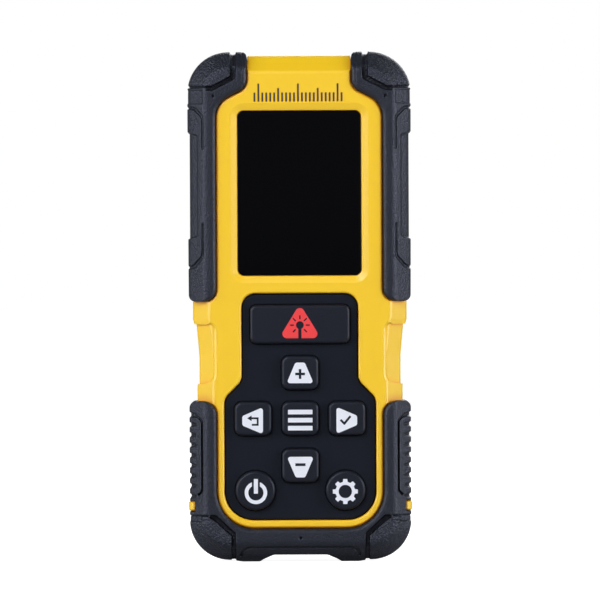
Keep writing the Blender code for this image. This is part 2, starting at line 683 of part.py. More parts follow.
def bezel():
    """The black frame at the laser end, with its two ports and the window over them."""
    frame = plate("window_bezel", rectangle(*BEZEL), *BEZEL_LEVELS, axis="Z")
    foot = BEZEL_LEVELS[0]
    flange = plate("bezel_flange", rectangle(-12.2, 12.2, -8.6, 8.6, 2.4), foot, foot + 0.8, axis="Z")
    recess = plate("bezel_recess", rectangle(-10.4, 10.4, -7.2, 7.2, 1.4), 122.4, 126.0, axis="Z")
    port = cylinder("receiver_port", (RECEIVER_X, OPTICS_Y), 6.1, 118.0, 126.0, axis="Z", sides=28)
    laser = cylinder("laser_port", (EMITTER_X, OPTICS_Y), 2.7, 118.0, 126.0, axis="Z")
    finish(cut(join(frame, flange), recess, port, laser), "black_plastic")
    pane = plate("aperture_window", rectangle(-10.15, 10.15, -6.95, 6.95, 1.2), 122.65, 123.4, axis="Z")
    finish(pane, "red_filter")


# ------------------------------------------------------------------ batteries and their door


def cell(name, sign, low, plus_up):
    """An AAA cell, 44.5 long, with its positive cap at the top or at the bottom."""
    rim = 0.4
    profile = [
        (0, CELL_LENGTH), (1.9, CELL_LENGTH), (1.9, CELL_SHOULDER), (CELL_RADIUS - rim, CELL_SHOULDER),
        (CELL_RADIUS, CELL_SHOULDER - rim), (CELL_RADIUS, rim), (CELL_RADIUS - rim, 0), (0, 0),
    ]
    if not plus_up:
        profile = [(radius, CELL_LENGTH - z) for radius, z in reversed(profile)]
    profile = [(radius, low + z) for radius, z in profile]
    finish(turned(name, profile, (sign * CELL_X, CELL_Y), steps=20), "cell_jacket")


def contact_spring(name, x, low, high, wide_end_low):
    """A conical coil of wire between a contact and the flat end of a cell."""
    turns = 2.5
    per_turn = 10
    count = int(turns * per_turn)
    wide, narrow = 3.2, 1.9
    wire = 0.22
    curve = bpy.data.curves.new(name, "CURVE")
    curve.dimensions = "3D"
    curve.bevel_depth = wire * MM
    curve.bevel_resolution = 1
    curve.use_fill_caps = True
    spline = curve.splines.new("POLY")
    spline.points.add(count)
    for index, point in enumerate(spline.points):
        share = index / count
        angle = 2 * pi * turns * share
        radius = wide + (narrow - wide) * share
        rise = (high - low - 2 * wire) * share
        z = low + wire + rise if wide_end_low else high - wire - rise
        point.co = (radius * cos(angle) * MM, radius * sin(angle) * MM, z * MM, 1)
    place = Matrix.Translation((x * MM, CELL_Y * MM, 0))
    finish(mesh_from_curve(curve, place), "steel")


def batteries():
    cell("battery_left", -1, 16.6, plus_up=True)
    cell("battery_right", 1, 14.3, plus_up=False)
    contact_spring("contact_spring_left", -CELL_X, 14.3, 16.3, wide_end_low=True)
    contact_spring("contact_spring_right", CELL_X, 59.1, 61.1, wide_end_low=False)
    for name, left in (("contact_plate_left", -9.8), ("contact_plate_right", 1.0)):
        finish(box(name, (left, 0.6, 13.7), (left + 8.8, 9.2, 14.0)), "steel")
    finish(box("contact_bridge", (-9.8, 0.6, 61.4), (9.8, 9.2, 61.7)), "steel")


def battery_door():
    door = plate("battery_door", rectangle(*DOOR), DOOR_INSIDE, SHELL_FACE)
    tabs = []
    for hand, left in (("left", -8.5), ("right", 3.5)):
        tabs.append(box(f"door_tab_{hand}", (left, 10.2, 9.6), (left + 5.0, 10.95, 12.2)))
        tabs.append(box(f"door_tab_rib_{hand}", (left, 10.9, 11.2), (left + 5.0, 11.8, 12.2)))
    latch_pocket = box("latch_pocket", (-4.7, LATCH_POCKET_FLOOR, 55.2), (4.7, BEYOND, 66.0))
    finger_dip = cylinder("finger_dip", (0, 53.4), 4.0, 12.5, BEYOND, sides=24)
    cut(join(door, *tabs), latch_pocket, finger_dip)
    finish(door, "yellow_plastic")
    ring = plate("battery_door_seal", rectangle(-12.4, 12.4, 12.5, 63.4, 1.5), 11.1, 11.5)
    inside = plate("door_seal_inside", rectangle(-11.4, 11.4, 13.5, 62.4, 0.8), 10, 13)
    finish(cut(ring, inside), "seal_rubber")
    on_axis("battery_door_hinge", [door, ring], (0, DOOR_HINGE_Y, DOOR_HINGE_Z))
    slider = plate("battery_latch", rectangle(*LATCH), *LATCH_LEVELS)
    tongue = box("latch_tongue", (-3.2, LATCH_LEVELS[0], 64.0), (3.2, 13.15, 66.2))
    grips = [box(f"latch_ridge_{n}", (-3.4, 13.2, 58.7 + 1.3 * n), (3.4, 13.6, 59.3 + 1.3 * n)) for n in
             range(4)]
    finish(join(slider, tongue, *grips), "black_plastic")
    on_axis("battery_latch_slide", [slider], (0, 12.95, 61.1))


# ------------------------------------------------------------------ fasteners and fittings


def screw(name, x, z, seat, tip, head_radius, shank_radius):
    """A pan-head screw that goes in from the back, with a six-sided drive in its head."""
    body = cylinder(name, (x, z), head_radius, seat + 0.1, seat + 0.1 + HEAD_HEIGHT, sides=16)
    shank = cylinder(name + "_shank", (x, z), shank_radius, tip, seat + 0.2, sides=10)
    drive = cylinder(name + "_drive", (x, z), 0.8, seat + 0.6, seat + 3, sides=6)
    finish(cut(join(body, shank), drive), "steel")


def screws():
    for sign, hand in ((-1, "left"), (1, "right")):
        for name, x, z, seat, _ in CASE_SCREWS:
            screw(f"{name}_{hand}", sign * x, z, seat, -9.0, HEAD_RADIUS, SHANK_RADIUS)
        x, z = BOARD_SCREW
        screw(f"board_screw_{hand}", sign * x, z, BOARD_BACK + 0.1, -9.0, HEAD_RADIUS, SHANK_RADIUS)


def fittings():
    insert = cylinder("tripod_insert", (0, SOCKET_Z), SOCKET_RADIUS, *SOCKET_LEVELS, sides=28)
    thread = cylinder("tripod_thread", (0, SOCKET_Z), SOCKET_BORE, 6.6, BEYOND, sides=24)
    finish(cut(insert, thread), "brass")
    finish(plate("label_plate", rectangle(*LABEL), 12.8, 13.15), "label_metal")


def build():
    front_shell()
    rear_shell()
    shell_seal()
    upper_bumpers()
    lower_bumper()
    display()
    keypad_mat()
    for name in KEYS:
        key(name)
    electronics()
    optics()
    bezel()
    batteries()
    battery_door()
    screws()
    fittings()


build()
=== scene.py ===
"""The looks of the laser distance meter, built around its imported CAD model.

The meter stands upright: +Z runs along its length to the laser end and the display and keypad face
-Y. Sizes here are millimetres in the CAD model's frame and become metres when a mesh is made.
"""

from math import atan2, ceil, cos, pi, radians, sin, sqrt, tan

import bmesh
import bpy
from mathutils import Matrix, Vector


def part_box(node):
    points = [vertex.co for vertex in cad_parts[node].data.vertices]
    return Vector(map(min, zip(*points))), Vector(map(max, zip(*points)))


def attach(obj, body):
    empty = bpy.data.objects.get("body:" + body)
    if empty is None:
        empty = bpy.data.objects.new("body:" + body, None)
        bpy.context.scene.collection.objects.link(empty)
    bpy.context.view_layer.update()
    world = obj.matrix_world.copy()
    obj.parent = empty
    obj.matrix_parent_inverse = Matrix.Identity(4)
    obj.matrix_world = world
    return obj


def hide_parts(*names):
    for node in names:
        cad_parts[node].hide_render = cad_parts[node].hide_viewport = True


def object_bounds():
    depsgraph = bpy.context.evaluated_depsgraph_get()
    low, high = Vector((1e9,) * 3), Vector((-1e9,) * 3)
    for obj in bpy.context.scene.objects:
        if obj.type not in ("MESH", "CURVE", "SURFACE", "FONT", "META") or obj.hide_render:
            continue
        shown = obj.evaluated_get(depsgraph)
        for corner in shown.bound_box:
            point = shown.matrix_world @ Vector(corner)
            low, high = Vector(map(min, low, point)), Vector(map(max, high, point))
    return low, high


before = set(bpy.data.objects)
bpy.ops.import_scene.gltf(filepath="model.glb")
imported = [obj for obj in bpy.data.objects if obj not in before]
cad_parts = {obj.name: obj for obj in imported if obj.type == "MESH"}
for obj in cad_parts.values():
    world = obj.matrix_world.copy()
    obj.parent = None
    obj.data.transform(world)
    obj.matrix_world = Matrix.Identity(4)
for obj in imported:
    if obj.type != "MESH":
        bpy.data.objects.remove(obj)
cad_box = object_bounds()

# ---------- sizes shared with the CAD model

MM = 0.001  # one millimetre in metres
TO_METRES = Matrix.Scale(MM, 4)  # solids are made in millimetres, and shrunk when they are finished
ARC_STEP = radians(6)  # the longest arc that one straight edge stands for
BEYOND = 40.0  # surely outside the meter

HEIGHT = cad_box[1].z / MM
HALF_WIDTH = cad_box[1].x / MM
RUBBER_FACE = cad_box[1].y / MM
SHELL_FACE = -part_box("front_shell")[0].y / MM
CORE_FACE = 12.0
RUBBER_CHAMFER = 4.2
SHELL_CHAMFER = 4.0
CORE_CHAMFER = 2.6
INNER_CHAMFER = 2.0
FRONT_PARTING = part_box("front_shell")[1].y / MM
REAR_PARTING = FRONT_PARTING + 0.3
FRONT_INSIDE = -10.6
REAR_INSIDE = 11.0
WINDOW_LEDGE = -11.3
WINDOW_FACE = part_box("display_window")[0].y / MM
WINDOW_BEVEL = 1.7
MAT_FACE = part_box("keypad_mat")[0].y / MM
MAT_STEP = -10.3
MAT_BACK = -9.4
KEY_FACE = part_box("plus_key")[0].y / MM
KEY_SKIRT = -9.1
KEY_BACK = -8.5
KEY_STUB = -8.25
BOARD_FRONT = -7.0
BOARD_BACK = -5.4

# Rectangles are (left, right, low, high, corner radius).
DOOR = (-12.9, 12.9, 11.1, 64.8, 1.8)
DOOR_REBATE = (-13.1, 13.1, 10.9, 65.0, 2.0)
DOOR_LEVEL = 11.7  # the door's inside face
LATCH = (-4.4, 4.4, 57.6, 64.6, 0.8)
LATCH_LEVELS = (12.6, 13.3)
LATCH_POCKET_FLOOR = 12.3
LABEL = (-14.0, 14.0, 82.0, 103.0, 1.5)
LABEL_RECESS = (-14.3, 14.3, 81.7, 103.3, 1.8)
BEZEL = (-11.0, 11.0, -7.8, 7.8, 1.8)
BEZEL_LEVELS = (119.4, 123.5)

RECEIVER = (3.6, 0.8)  # (x, y) of the two optical axes
EMITTER = (-7.4, 0.8)
CELL_X = 5.45
CELL_Y = 4.9
CELL_RADIUS = 5.2
CELL_LENGTH = 44.5
SOCKET_Z = 74.0
SOCKET_RADIUS = 4.6

# Outlines are lists of (x, z, corner radius); those for mirrored() hold the right half, top to bottom.
SILHOUETTE = [
    (26.3, 124.05, 0), (26.2, 59.5, 0), (25.85, 58.2, 0), (25.15, 50.5, 14.0), (25.1, 2.6, 0),
]
SHOWN = [
    (12.65, 127.0, 0), (12.65, 116.1, 3.3), (20.3, 112.15, 5.4), (20.3, 63.79, 3.0), (28.0, 63.79, 0),
    (28.0, 39.41, 0), (20.3, 39.41, 3.4), (20.3, 8.3, 9.0),
]
CORE = [(24.2, 122.8, 8.4), (24.2, 3.0, 8.4)]
CAVITY = [(22.4, 120.6, 6.5), (22.4, 5.0, 6.5)]
RUBBER_ENVELOPE = [(HALF_WIDTH, HEIGHT, 10.2), (HALF_WIDTH, 0.0, 10.2)]
UPPER_BUMPER = [
    (12.8, HEIGHT, 1.3), (HALF_WIDTH, HEIGHT, 10.2), (HALF_WIDTH, 112.0, 0), (27.25, 72.0, 0),
    (27.2, 63.75, 1.7), (20.4, 63.75, 3.0), (20.4, 112.25, 5.6), (12.8, 116.15, 3.1),
]
LOWER_BUMPER = [
    (20.4, 8.2, 9.2), (20.4, 39.45, 3.4), (27.15, 39.45, 1.7), (27.15, 0.6, 9.8), (16.7, 0.45, 0),
    (14.2, 0.0, 0), (10.0, 0.0, 0), (9.1, 0.6, 0), (6.6, 1.7, 2.0),
]
WINDOW = [(15.2, 110.55, 1.6), (15.2, 70.05, 1.6)]
KEYPAD = [(14.3, 65.75, 3.4), (14.3, 44.4, 3.4), (18.6, 40.1, 3.4), (18.6, 10.2, 7.1)]
SIDE_RIB = (12.6, 14.8)
SIDE_RIB_REACH = (27.38, 10.3)
GRIP_EDGE = 21.3  # inner edge of the finger grips at the waist
GRIP_DEPTH = 0.5
WAIST_LAP = 1.6  # how far the waist goes on under the bumpers
TONGUE_INSET = 1.3  # how deep it lies there
TONGUE_POCKET_INSET = 1.15  # and how deep the bumpers are cut away for it
SHOWN_ROUNDING = 0.7  # of the yellow's edges along the bumpers
KEY_ROUNDING = 0.85
KEY_GROWTH = 0.06  # over the CAD model's keys
KEYS = {  # name: (centre x, centre z, width, height, corner radius)
    "measure_key": (0.0, 58.2, 24.4, 9.5, 1.6),
    "plus_key": (0.0, 46.3, 9.0, 8.3, 1.8),
    "back_key": (-11.55, 35.1, 9.0, 8.3, 1.8),
    "menu_key": (0.0, 35.1, 9.0, 8.3, 1.8),
    "ok_key": (11.45, 35.1, 9.0, 8.3, 1.8),
    "minus_key": (0.0, 23.6, 9.0, 8.3, 1.8),
    "power_key": (-11.05, 17.5, 9.7, 9.7, 4.85),
    "settings_key": (11.05, 17.5, 9.7, 9.7, 4.85),
}
CASE_SCREWS = [  # (name, x, z, depth of the head's seat, does it pass through the board)
    ("case_screw_top", 17.5, 106.0, 11.6, False),
    ("case_screw_middle", 17.5, 66.8, 11.6, True),
    ("case_screw_bottom", 12.0, 6.9, 11.4, False),
]
BOARD_SCREW = (17.6, 88.0)
BOSS_RADIUS = 2.0
PILOT_RADIUS = 1.3
PILOT_FLOOR = -9.6
SCREW_TIP = -9.0

# ---------- outlines


def arcs(corners, closed=True):
    """The line through (x, z, radius) corners, with each corner turned into an arc of its radius."""
    line = []
    for index, (x, z, radius) in enumerate(corners):
        corner = Vector((x, z))
        end = not closed and index in (0, len(corners) - 1)
        back = (Vector(corners[index - 1][:2]) - corner).normalized()
        ahead = (Vector(corners[(index + 1) % len(corners)][:2]) - corner).normalized()
        turn = 0 if end else pi - back.angle(ahead)
        if radius == 0 or turn < radians(0.5):
            line.append(corner)
            continue
        centre = corner + (back + ahead).normalized() * radius / cos(turn / 2)
        spoke = corner + back * radius * tan(turn / 2) - centre
        sense = 1 if back.y * ahead.x > back.x * ahead.y else -1
        edges = max(2, ceil(turn / ARC_STEP))
        for step in range(edges + 1):
            line.append(centre + Matrix.Rotation(sense * turn * step / edges, 2) @ spoke)
    return [p for i, p in enumerate(line) if (p - line[i - 1]).length > 0.002 or (i == 0 and not closed)]


def flipped(corners):
    return [(-x, z, radius) for x, z, radius in reversed(corners)]


def mirrored(half):
    return arcs(half + flipped(half))


def rectangle(left, right, low, high, radius=0.0):
    return arcs([(left, low, radius), (right, low, radius), (right, high, radius), (left, high, radius)])


def circle(x, z, radius, sides=48):
    turns = [2 * pi * side / sides for side in range(sides)]
    return [Vector((x + radius * cos(turn), z + radius * sin(turn))) for turn in turns]


def grown(outline, distance):
    """The outline moved outwards by a distance, point for point."""
    count = len(outline)
    area = sum(outline[i - 1].x * outline[i].y - outline[i].x * outline[i - 1].y for i in range(count))
    outside = 1 if area > 0 else -1
    moved = []
    for index, point in enumerate(outline):
        into = (point - outline[index - 1]).normalized()
        away = (outline[(index + 1) % count] - point).normalized()
        normal = Vector((into.y + away.y, -into.x - away.x)).normalized() * outside
        lean = Vector((into.y, -into.x)).dot(normal) * outside
        moved.append(point + normal * distance / max(lean, 0.3))
    return moved


def round_rim(face, inward, radius, growth=0.0, steps=5):
    """(level, growth) points of a quarter round that ends at the level of a face.

    inward is the direction of the levels behind the face.
    """
    points = []
    for step in range(steps + 1):
        angle = pi / 2 * step / steps
        level = face + inward * radius * (1 - sin(angle))
        points.append((level, growth - radius * (1 - cos(angle))))
    return points


def chamfer_rim(face, inward, chamfer, radius):
    """(level, growth) points of a 45-degree chamfer with both of its edges rounded."""
    corners = [
        (face + inward * (chamfer + 2.5), 0.0, 0), (face + inward * chamfer, 0.0, radius),
        (face, -chamfer, radius), (face, -chamfer - 1.5, 0),
    ]
    return [(point.x, point.y) for point in arcs(corners, closed=False)]


# ---------- solids


def new_piece(name, shape):
    mesh = bpy.data.meshes.new(name)
    bmesh.ops.recalc_face_normals(shape, faces=shape.faces)
    shape.to_mesh(mesh)
    shape.free()
    piece = bpy.data.objects.new(name, mesh)
    bpy.context.scene.collection.objects.link(piece)
    return piece


def solid(name, outline, profile, axis="Y"):
    """A solid through rings: the outline at each (level, growth) of the profile, along axis."""
    order = {"X": (2, 0, 1), "Y": (0, 2, 1), "Z": (0, 1, 2)}[axis]
    shape = bmesh.new()
    loops = []
    for level, growth in profile:
        ring = grown(outline, growth) if growth else outline
        places = [(p[0], p[1], level) for p in ring]
        loops.append([shape.verts.new([place[i] for i in order]) for place in places])
    count = len(outline)
    for near, far in zip(loops, loops[1:]):
        for index in range(count):
            after = (index + 1) % count
            shape.faces.new((near[index], near[after], far[after], far[index]))
    shape.faces.new(loops[0])
    shape.faces.new(loops[-1])
    return new_piece(name, shape)


def plate(name, outline, low, high, axis="Y"):
    return solid(name, outline, [(low, 0.0), (high, 0.0)], axis)


def box(name, low, high):
    outline = rectangle(low[0], high[0], low[2], high[2])
    return plate(name, outline, low[1], high[1])


def cylinder(name, centre, radius, low, high, axis="Y", sides=32):
    return plate(name, circle(centre[0], centre[1], radius, sides), low, high, axis)


def turned(name, profile, centre, axis="Z", sides=48):
    """A solid of (radius, level) rings about an axis through centre; its ends are closed."""
    rings = [(level, radius - 1.0) for radius, level in profile]
    return solid(name, circle(centre[0], centre[1], 1.0, sides), rings, axis)


def bake(piece):
    """Replace a piece's mesh by what its modifiers make of it."""
    bpy.context.view_layer.update()
    depsgraph = bpy.context.evaluated_depsgraph_get()
    mesh = bpy.data.meshes.new_from_object(piece.evaluated_get(depsgraph))
    old = piece.data
    piece.modifiers.clear()
    piece.data = mesh
    bpy.data.meshes.remove(old)
    mesh.name = piece.name
    return piece


def combine(piece, operation, tools):
    for tool in tools:
        change = piece.modifiers.new("change", "BOOLEAN")
        change.operation = operation
        change.object = tool
    bake(piece)
    for tool in tools:
        bpy.data.objects.remove(tool)
    return piece


def join(piece, *tools):
    return combine(piece, "UNION", tools)


def cut(piece, *tools):
    return combine(piece, "DIFFERENCE", tools)


def keep(piece, *tools):
    return combine(piece, "INTERSECT", tools)


def rim_tool(outline, floor, face, radius, growth=0.0, sense=1):
    """A tool from a floor out through a face that leaves the face's edge rounded.

    With sense 1 it flares, to cut a hole with a rounded mouth. With sense -1 it narrows, to keep what
    is inside it with a rounded edge.
    """
    out = 1 if face > floor else -1
    profile = [(floor, growth)]
    for degrees in (0, 18, 36, 54, 70):
        angle = radians(degrees)
        profile.append((face - out * radius * (1 - sin(angle)), growth + sense * radius * (1 - cos(angle))))
    level, reach = profile[-1]
    profile.append((level + out * 0.5, reach + sense * 0.5 * tan(angle)))
    return solid("rim_tool", outline, profile)


def dress(piece, material, sharp=27):
    """Bring a hard piece to metres, with its material and clean shading of its flats and rounds."""
    piece.data.transform(TO_METRES)
    piece.data.materials.clear()
    piece.data.materials.append(material)
    piece.data.shade_smooth()
    piece.data.set_sharp_from_angle(angle=radians(sharp))
    weighted = piece.modifiers.new("weighted_normals", "WEIGHTED_NORMAL")
    weighted.keep_sharp = True
    weighted.weight = 60
    return piece


def stand_for(piece, body, slot, *nodes):
    """Make a piece ride on a body and stand for CAD nodes."""
    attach(piece, body)
    if nodes:
        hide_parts(*nodes)
    return piece


# ---------- materials

STAIN_SIZE = 6.0  # grain of the noise in a surface's colour
GLOSS_SIZE = 1.5  # grain of the noise in its roughness
PAINTED_SHADE_REACH = 2.4  # how near its neighbours a surface is darkened by painted shade
PAINTED_SHADE_SHARES = (0.45, 0.97)  # shares of open space where that painted shade is full, and gone


def surface(name, colour, roughness, metallic=0.0, bumps=(), tint=0.0, spread=0.0, painted_shade=None, **inputs):
    """A Principled material with layers of noise bump, and noise in its colour and roughness.

    bumps is a list of (grain size, grain height) in millimetres. The shade colour, if given, is painted
    shade that darkens the surface where the piece meets its neighbours, on a surface that has a tint.
    """
    material = bpy.data.materials.new(name)
    material.use_nodes = True
    nodes = material.node_tree.nodes
    link = material.node_tree.links.new
    shader = nodes["Principled BSDF"]
    shader.inputs["Base Color"].default_value = (*colour, 1)
    shader.inputs["Roughness"].default_value = roughness
    shader.inputs["Metallic"].default_value = metallic
    for key, value in inputs.items():
        shader.inputs[key.replace("_", " ")].default_value = value
    place = nodes.new("ShaderNodeTexCoord").outputs["Object"]

    def noise(size, detail):
        texture = nodes.new("ShaderNodeTexNoise")
        texture.inputs["Scale"].default_value = 1 / (size * MM)
        texture.inputs["Detail"].default_value = detail
        link(place, texture.inputs["Vector"])
        return texture.outputs["Fac"]

    normal = None
    for size, height in bumps:
        bump = nodes.new("ShaderNodeBump")
        bump.inputs["Distance"].default_value = height * MM
        link(noise(size, 2.0), bump.inputs["Height"])
        if normal:
            link(normal, bump.inputs["Normal"])
        normal = bump.outputs["Normal"]
    if normal:
        link(normal, shader.inputs["Normal"])
    if tint:
        mix = nodes.new("ShaderNodeMix")
        mix.data_type = "RGBA"
        mix.inputs["A"].default_value = (*[c * (1 - tint) for c in colour], 1)
        mix.inputs["B"].default_value = (*[c * (1 + tint) for c in colour], 1)
        link(noise(STAIN_SIZE, 3.0), mix.inputs["Factor"])
        link(mix.outputs["Result"], shader.inputs["Base Color"])
    # painted shade: ambient occlusion mixes the shade colour into the base colour in corners, creases and
    # where pieces meet
    if painted_shade:
        open_share = nodes.new("ShaderNodeAmbientOcclusion")
        open_share.samples = 12
        open_share.inputs["Distance"].default_value = PAINTED_SHADE_REACH * MM
        levels = nodes.new("ShaderNodeMapRange")
        levels.inputs["From Min"].default_value = PAINTED_SHADE_SHARES[0]
        levels.inputs["From Max"].default_value = PAINTED_SHADE_SHARES[1]
        painted_shade_mix = nodes.new("ShaderNodeMix")
        painted_shade_mix.data_type = "RGBA"
        painted_shade_mix.inputs["A"].default_value = (*painted_shade, 1)
        link(open_share.outputs["AO"], levels.inputs["Value"])
        link(levels.outputs["Result"], painted_shade_mix.inputs["Factor"])
        link(mix.outputs["Result"], painted_shade_mix.inputs["B"])
        link(painted_shade_mix.outputs["Result"], shader.inputs["Base Color"])
    if spread:
        levels = nodes.new("ShaderNodeMapRange")
        levels.inputs["To Min"].default_value = roughness - spread
        levels.inputs["To Max"].default_value = roughness + spread
        link(noise(GLOSS_SIZE, 3.0), levels.inputs["Value"])
        link(levels.outputs["Result"], shader.inputs["Roughness"])
    return material


BLUISH = (0.72, 0.78, 1.0, 1.0)  # tint of the black rubbers' sheen
# its deep orange towards the bumpers and in hollows is painted shade
YELLOW = surface(
    "moulded_yellow", (0.91, 0.575, 0.012), 0.37, bumps=[(0.22, 0.005)], tint=0.015, spread=0.03,
    painted_shade=(0.82, 0.3, 0.0), Specular_IOR_Level=0.8,
)
# the near-black in its grooves and along the yellow is painted shade
RUBBER = surface(
    "bumper_rubber", (0.0125, 0.0135, 0.02), 0.42, bumps=[(0.5, 0.14), (0.35, 0.08)], tint=0.15,
    spread=0.08, painted_shade=(0.002, 0.002, 0.003), Specular_IOR_Level=0.5, Specular_Tint=BLUISH,
)
# the near-black in its grooves and along the yellow is painted shade
CAP_RUBBER = surface(
    "bumper_rubber_grained", (0.0115, 0.0125, 0.019), 0.4, bumps=[(0.6, 0.32), (0.4, 0.22)], tint=0.15,
    spread=0.1, painted_shade=(0.002, 0.002, 0.003), Specular_IOR_Level=0.6, Specular_Tint=BLUISH,
)
KEY_RUBBER = surface(
    "key_rubber", (0.0075, 0.0088, 0.014), 0.42, bumps=[(0.2, 0.006)], tint=0.06, spread=0.05,
    Specular_IOR_Level=0.35, Specular_Tint=BLUISH,
)
MAT_RUBBER = surface(
    "mat_rubber", (0.0055, 0.0072, 0.012), 0.5, bumps=[(0.25, 0.008)], tint=0.06, spread=0.05,
    Specular_IOR_Level=0.22, Specular_Tint=BLUISH,
)
SEAL_RUBBER = surface("seal_rubber", (0.05, 0.05, 0.055), 0.7, bumps=[(0.3, 0.02)], tint=0.05)
LEGEND_WHITE = surface("legend_white", (0.77, 0.795, 0.885), 0.5, bumps=[(0.2, 0.003)], tint=0.01)
LEGEND_RED = surface("legend_red", (0.82, 0.045, 0.05), 0.5, bumps=[(0.2, 0.003)], tint=0.02)
PRINT_DARK = surface("print_dark", (0.03, 0.025, 0.03), 0.5, bumps=[(0.2, 0.003)], tint=0.05)
GLASS_BLACK = surface("display_glass", (0.001, 0.001, 0.0018), 0.06, spread=0.01, Specular_IOR_Level=0.1)
BLACK_PLASTIC = surface(
    "black_plastic", (0.025, 0.025, 0.027), 0.45, bumps=[(0.25, 0.01)], tint=0.05, spread=0.05
)
RED_FILTER = surface("red_filter", (0.12, 0.006, 0.01), 0.05, spread=0.01, Coat_Weight=0.6)
LENS = surface("lens_glass", (0.75, 0.85, 0.9), 0.02, spread=0.005, Transmission_Weight=0.9, IOR=1.5)
BRASS = surface("brass", (0.75, 0.52, 0.22), 0.28, 1.0, bumps=[(0.4, 0.004)], tint=0.06, spread=0.08)
STEEL = surface("steel", (0.6, 0.6, 0.62), 0.32, 1.0, bumps=[(0.5, 0.004)], tint=0.05, spread=0.08)
BLACK_STEEL = surface("black_steel", (0.06, 0.06, 0.065), 0.35, 1.0, bumps=[(0.5, 0.004)], spread=0.08)
BOARD = surface("solder_mask", (0.015, 0.12, 0.045), 0.35, bumps=[(0.8, 0.01)], tint=0.15, spread=0.08)
FILM = surface("polyester_film", (0.7, 0.66, 0.52), 0.3, tint=0.04, spread=0.05)
FLEX = surface("amber_flex", (0.55, 0.24, 0.04), 0.35, tint=0.06, spread=0.05)
PLATE_METAL = surface(
    "plate_metal", (0.42, 0.43, 0.45), 0.38, 1.0, bumps=[(0.6, 0.003)], tint=0.03, spread=0.06
)
CELL_DARK = surface(
    "cell_film_dark", (0.03, 0.032, 0.036), 0.3, bumps=[(1.5, 0.005)], tint=0.08, spread=0.05
)
CELL_BAND = surface(
    "cell_film_copper", (0.62, 0.3, 0.12), 0.3, 0.7, bumps=[(1.5, 0.005)], tint=0.05, spread=0.05
)

# ---------- casing


def casing_form(name, side, past, inset=0.0):
    """The outer form of half of the casing, or the same form a little smaller all round."""
    outline = mirrored(SILHOUETTE)
    chamfer = SHELL_CHAMFER - (2 - sqrt(2)) * inset
    profile = [(past, 0.0)] + chamfer_rim(side * (SHELL_FACE - inset), -side, chamfer, 1.5)
    return solid(name, grown(outline, -inset) if inset else outline, profile)


def casing_half(name, side, parting):
    """Half of the casing before it is hollowed; side is -1 for the front and 1 for the back."""
    past = parting - side
    face = side * SHELL_FACE
    body = casing_form(name, side, past)
    shown = rim_tool(mirrored(SHOWN), -side * BEYOND, face, SHOWN_ROUNDING, sense=-1)
    core_face = side * CORE_FACE
    core_rim = [(core_face - side * CORE_CHAMFER, 0.0), (core_face, -CORE_CHAMFER)]
    core = solid("core", mirrored(CORE), [(past - side, 0.0)] + core_rim)
    keep(body, shown)
    cut(body, *finger_grips(side, past))
    join(body, core, waist_tongue(side, past, TONGUE_INSET), *side_ribs(side, past))
    ends = sorted((parting, -side * BEYOND))
    other_half = box("other_half", (-BEYOND, ends[0], -BEYOND), (BEYOND, ends[1], HEIGHT + BEYOND))
    return cut(body, other_half)


def side_ribs(side, past):
    """The ribs that show through the sides of the lower bumper."""
    low, high = SIDE_RIB
    reach, depth = SIDE_RIB_REACH
    root = CORE[0][0] - 1.0
    edge = 0.3
    ribs = []
    for sign in (-1, 1):
        outline = arcs([
            (sign * root, past - 2 * side, 0), (sign * reach, past - 2 * side, 0),
            (sign * reach, side * (depth - 0.4), 0.7), (sign * (reach - 1.0), side * (depth + 0.6), 0.6),
            (sign * root, side * (depth + 0.6), 0),
        ])
        rounding = [(low, -edge), (low + edge, 0.0), (high - edge, 0.0), (high, -edge)]
        ribs.append(solid("rib", outline, rounding, axis="Z"))
    return ribs


def waist_tongue(side, past, inset):
    """The sunk ends of the waist, over which the bumpers lap."""
    reach = WAIST_LAP - inset / 4
    ends = box("ends", (-BEYOND, -BEYOND, SHOWN[5][1] - reach), (BEYOND, BEYOND, SHOWN[4][1] + reach))
    return keep(casing_form("tongue", side, past, inset), ends)


def finger_grips(side, past):
    """Cutters for the shallow recesses in both sides at the waist."""
    tools = []
    for sign in (-1, 1):
        corners = [
            (GRIP_EDGE, 58.15, 1.3), (GRIP_EDGE, 44.0, 2.2), (BEYOND, 41.4, 0), (BEYOND, 58.3, 0),
        ]
        outline = arcs([(sign * x, z, radius) for x, z, radius in corners])
        grip = rim_tool(outline, past - 2 * side, side * SHELL_FACE, 1.2)
        tools.append(cut(grip, casing_form("form", side, past - 5 * side, GRIP_DEPTH)))
    return tools


def hollow(side, parting):
    inside = FRONT_INSIDE if side < 0 else REAR_INSIDE
    past = parting - side
    rim = [(inside - side * INNER_CHAMFER, 0.0), (inside, -INNER_CHAMFER)]
    space = solid("space", mirrored(CAVITY), [(past, 0.0)] + rim)
    groove = plate("groove", grown(mirrored(CAVITY), 1.1), *sorted((parting + side * 0.7, past)))
    return space, groove


def top_opening():
    return plate("top_opening", rectangle(-11.2, 11.2, -8.0, 8.0, 2.0), 118.0, 128.0, axis="Z")


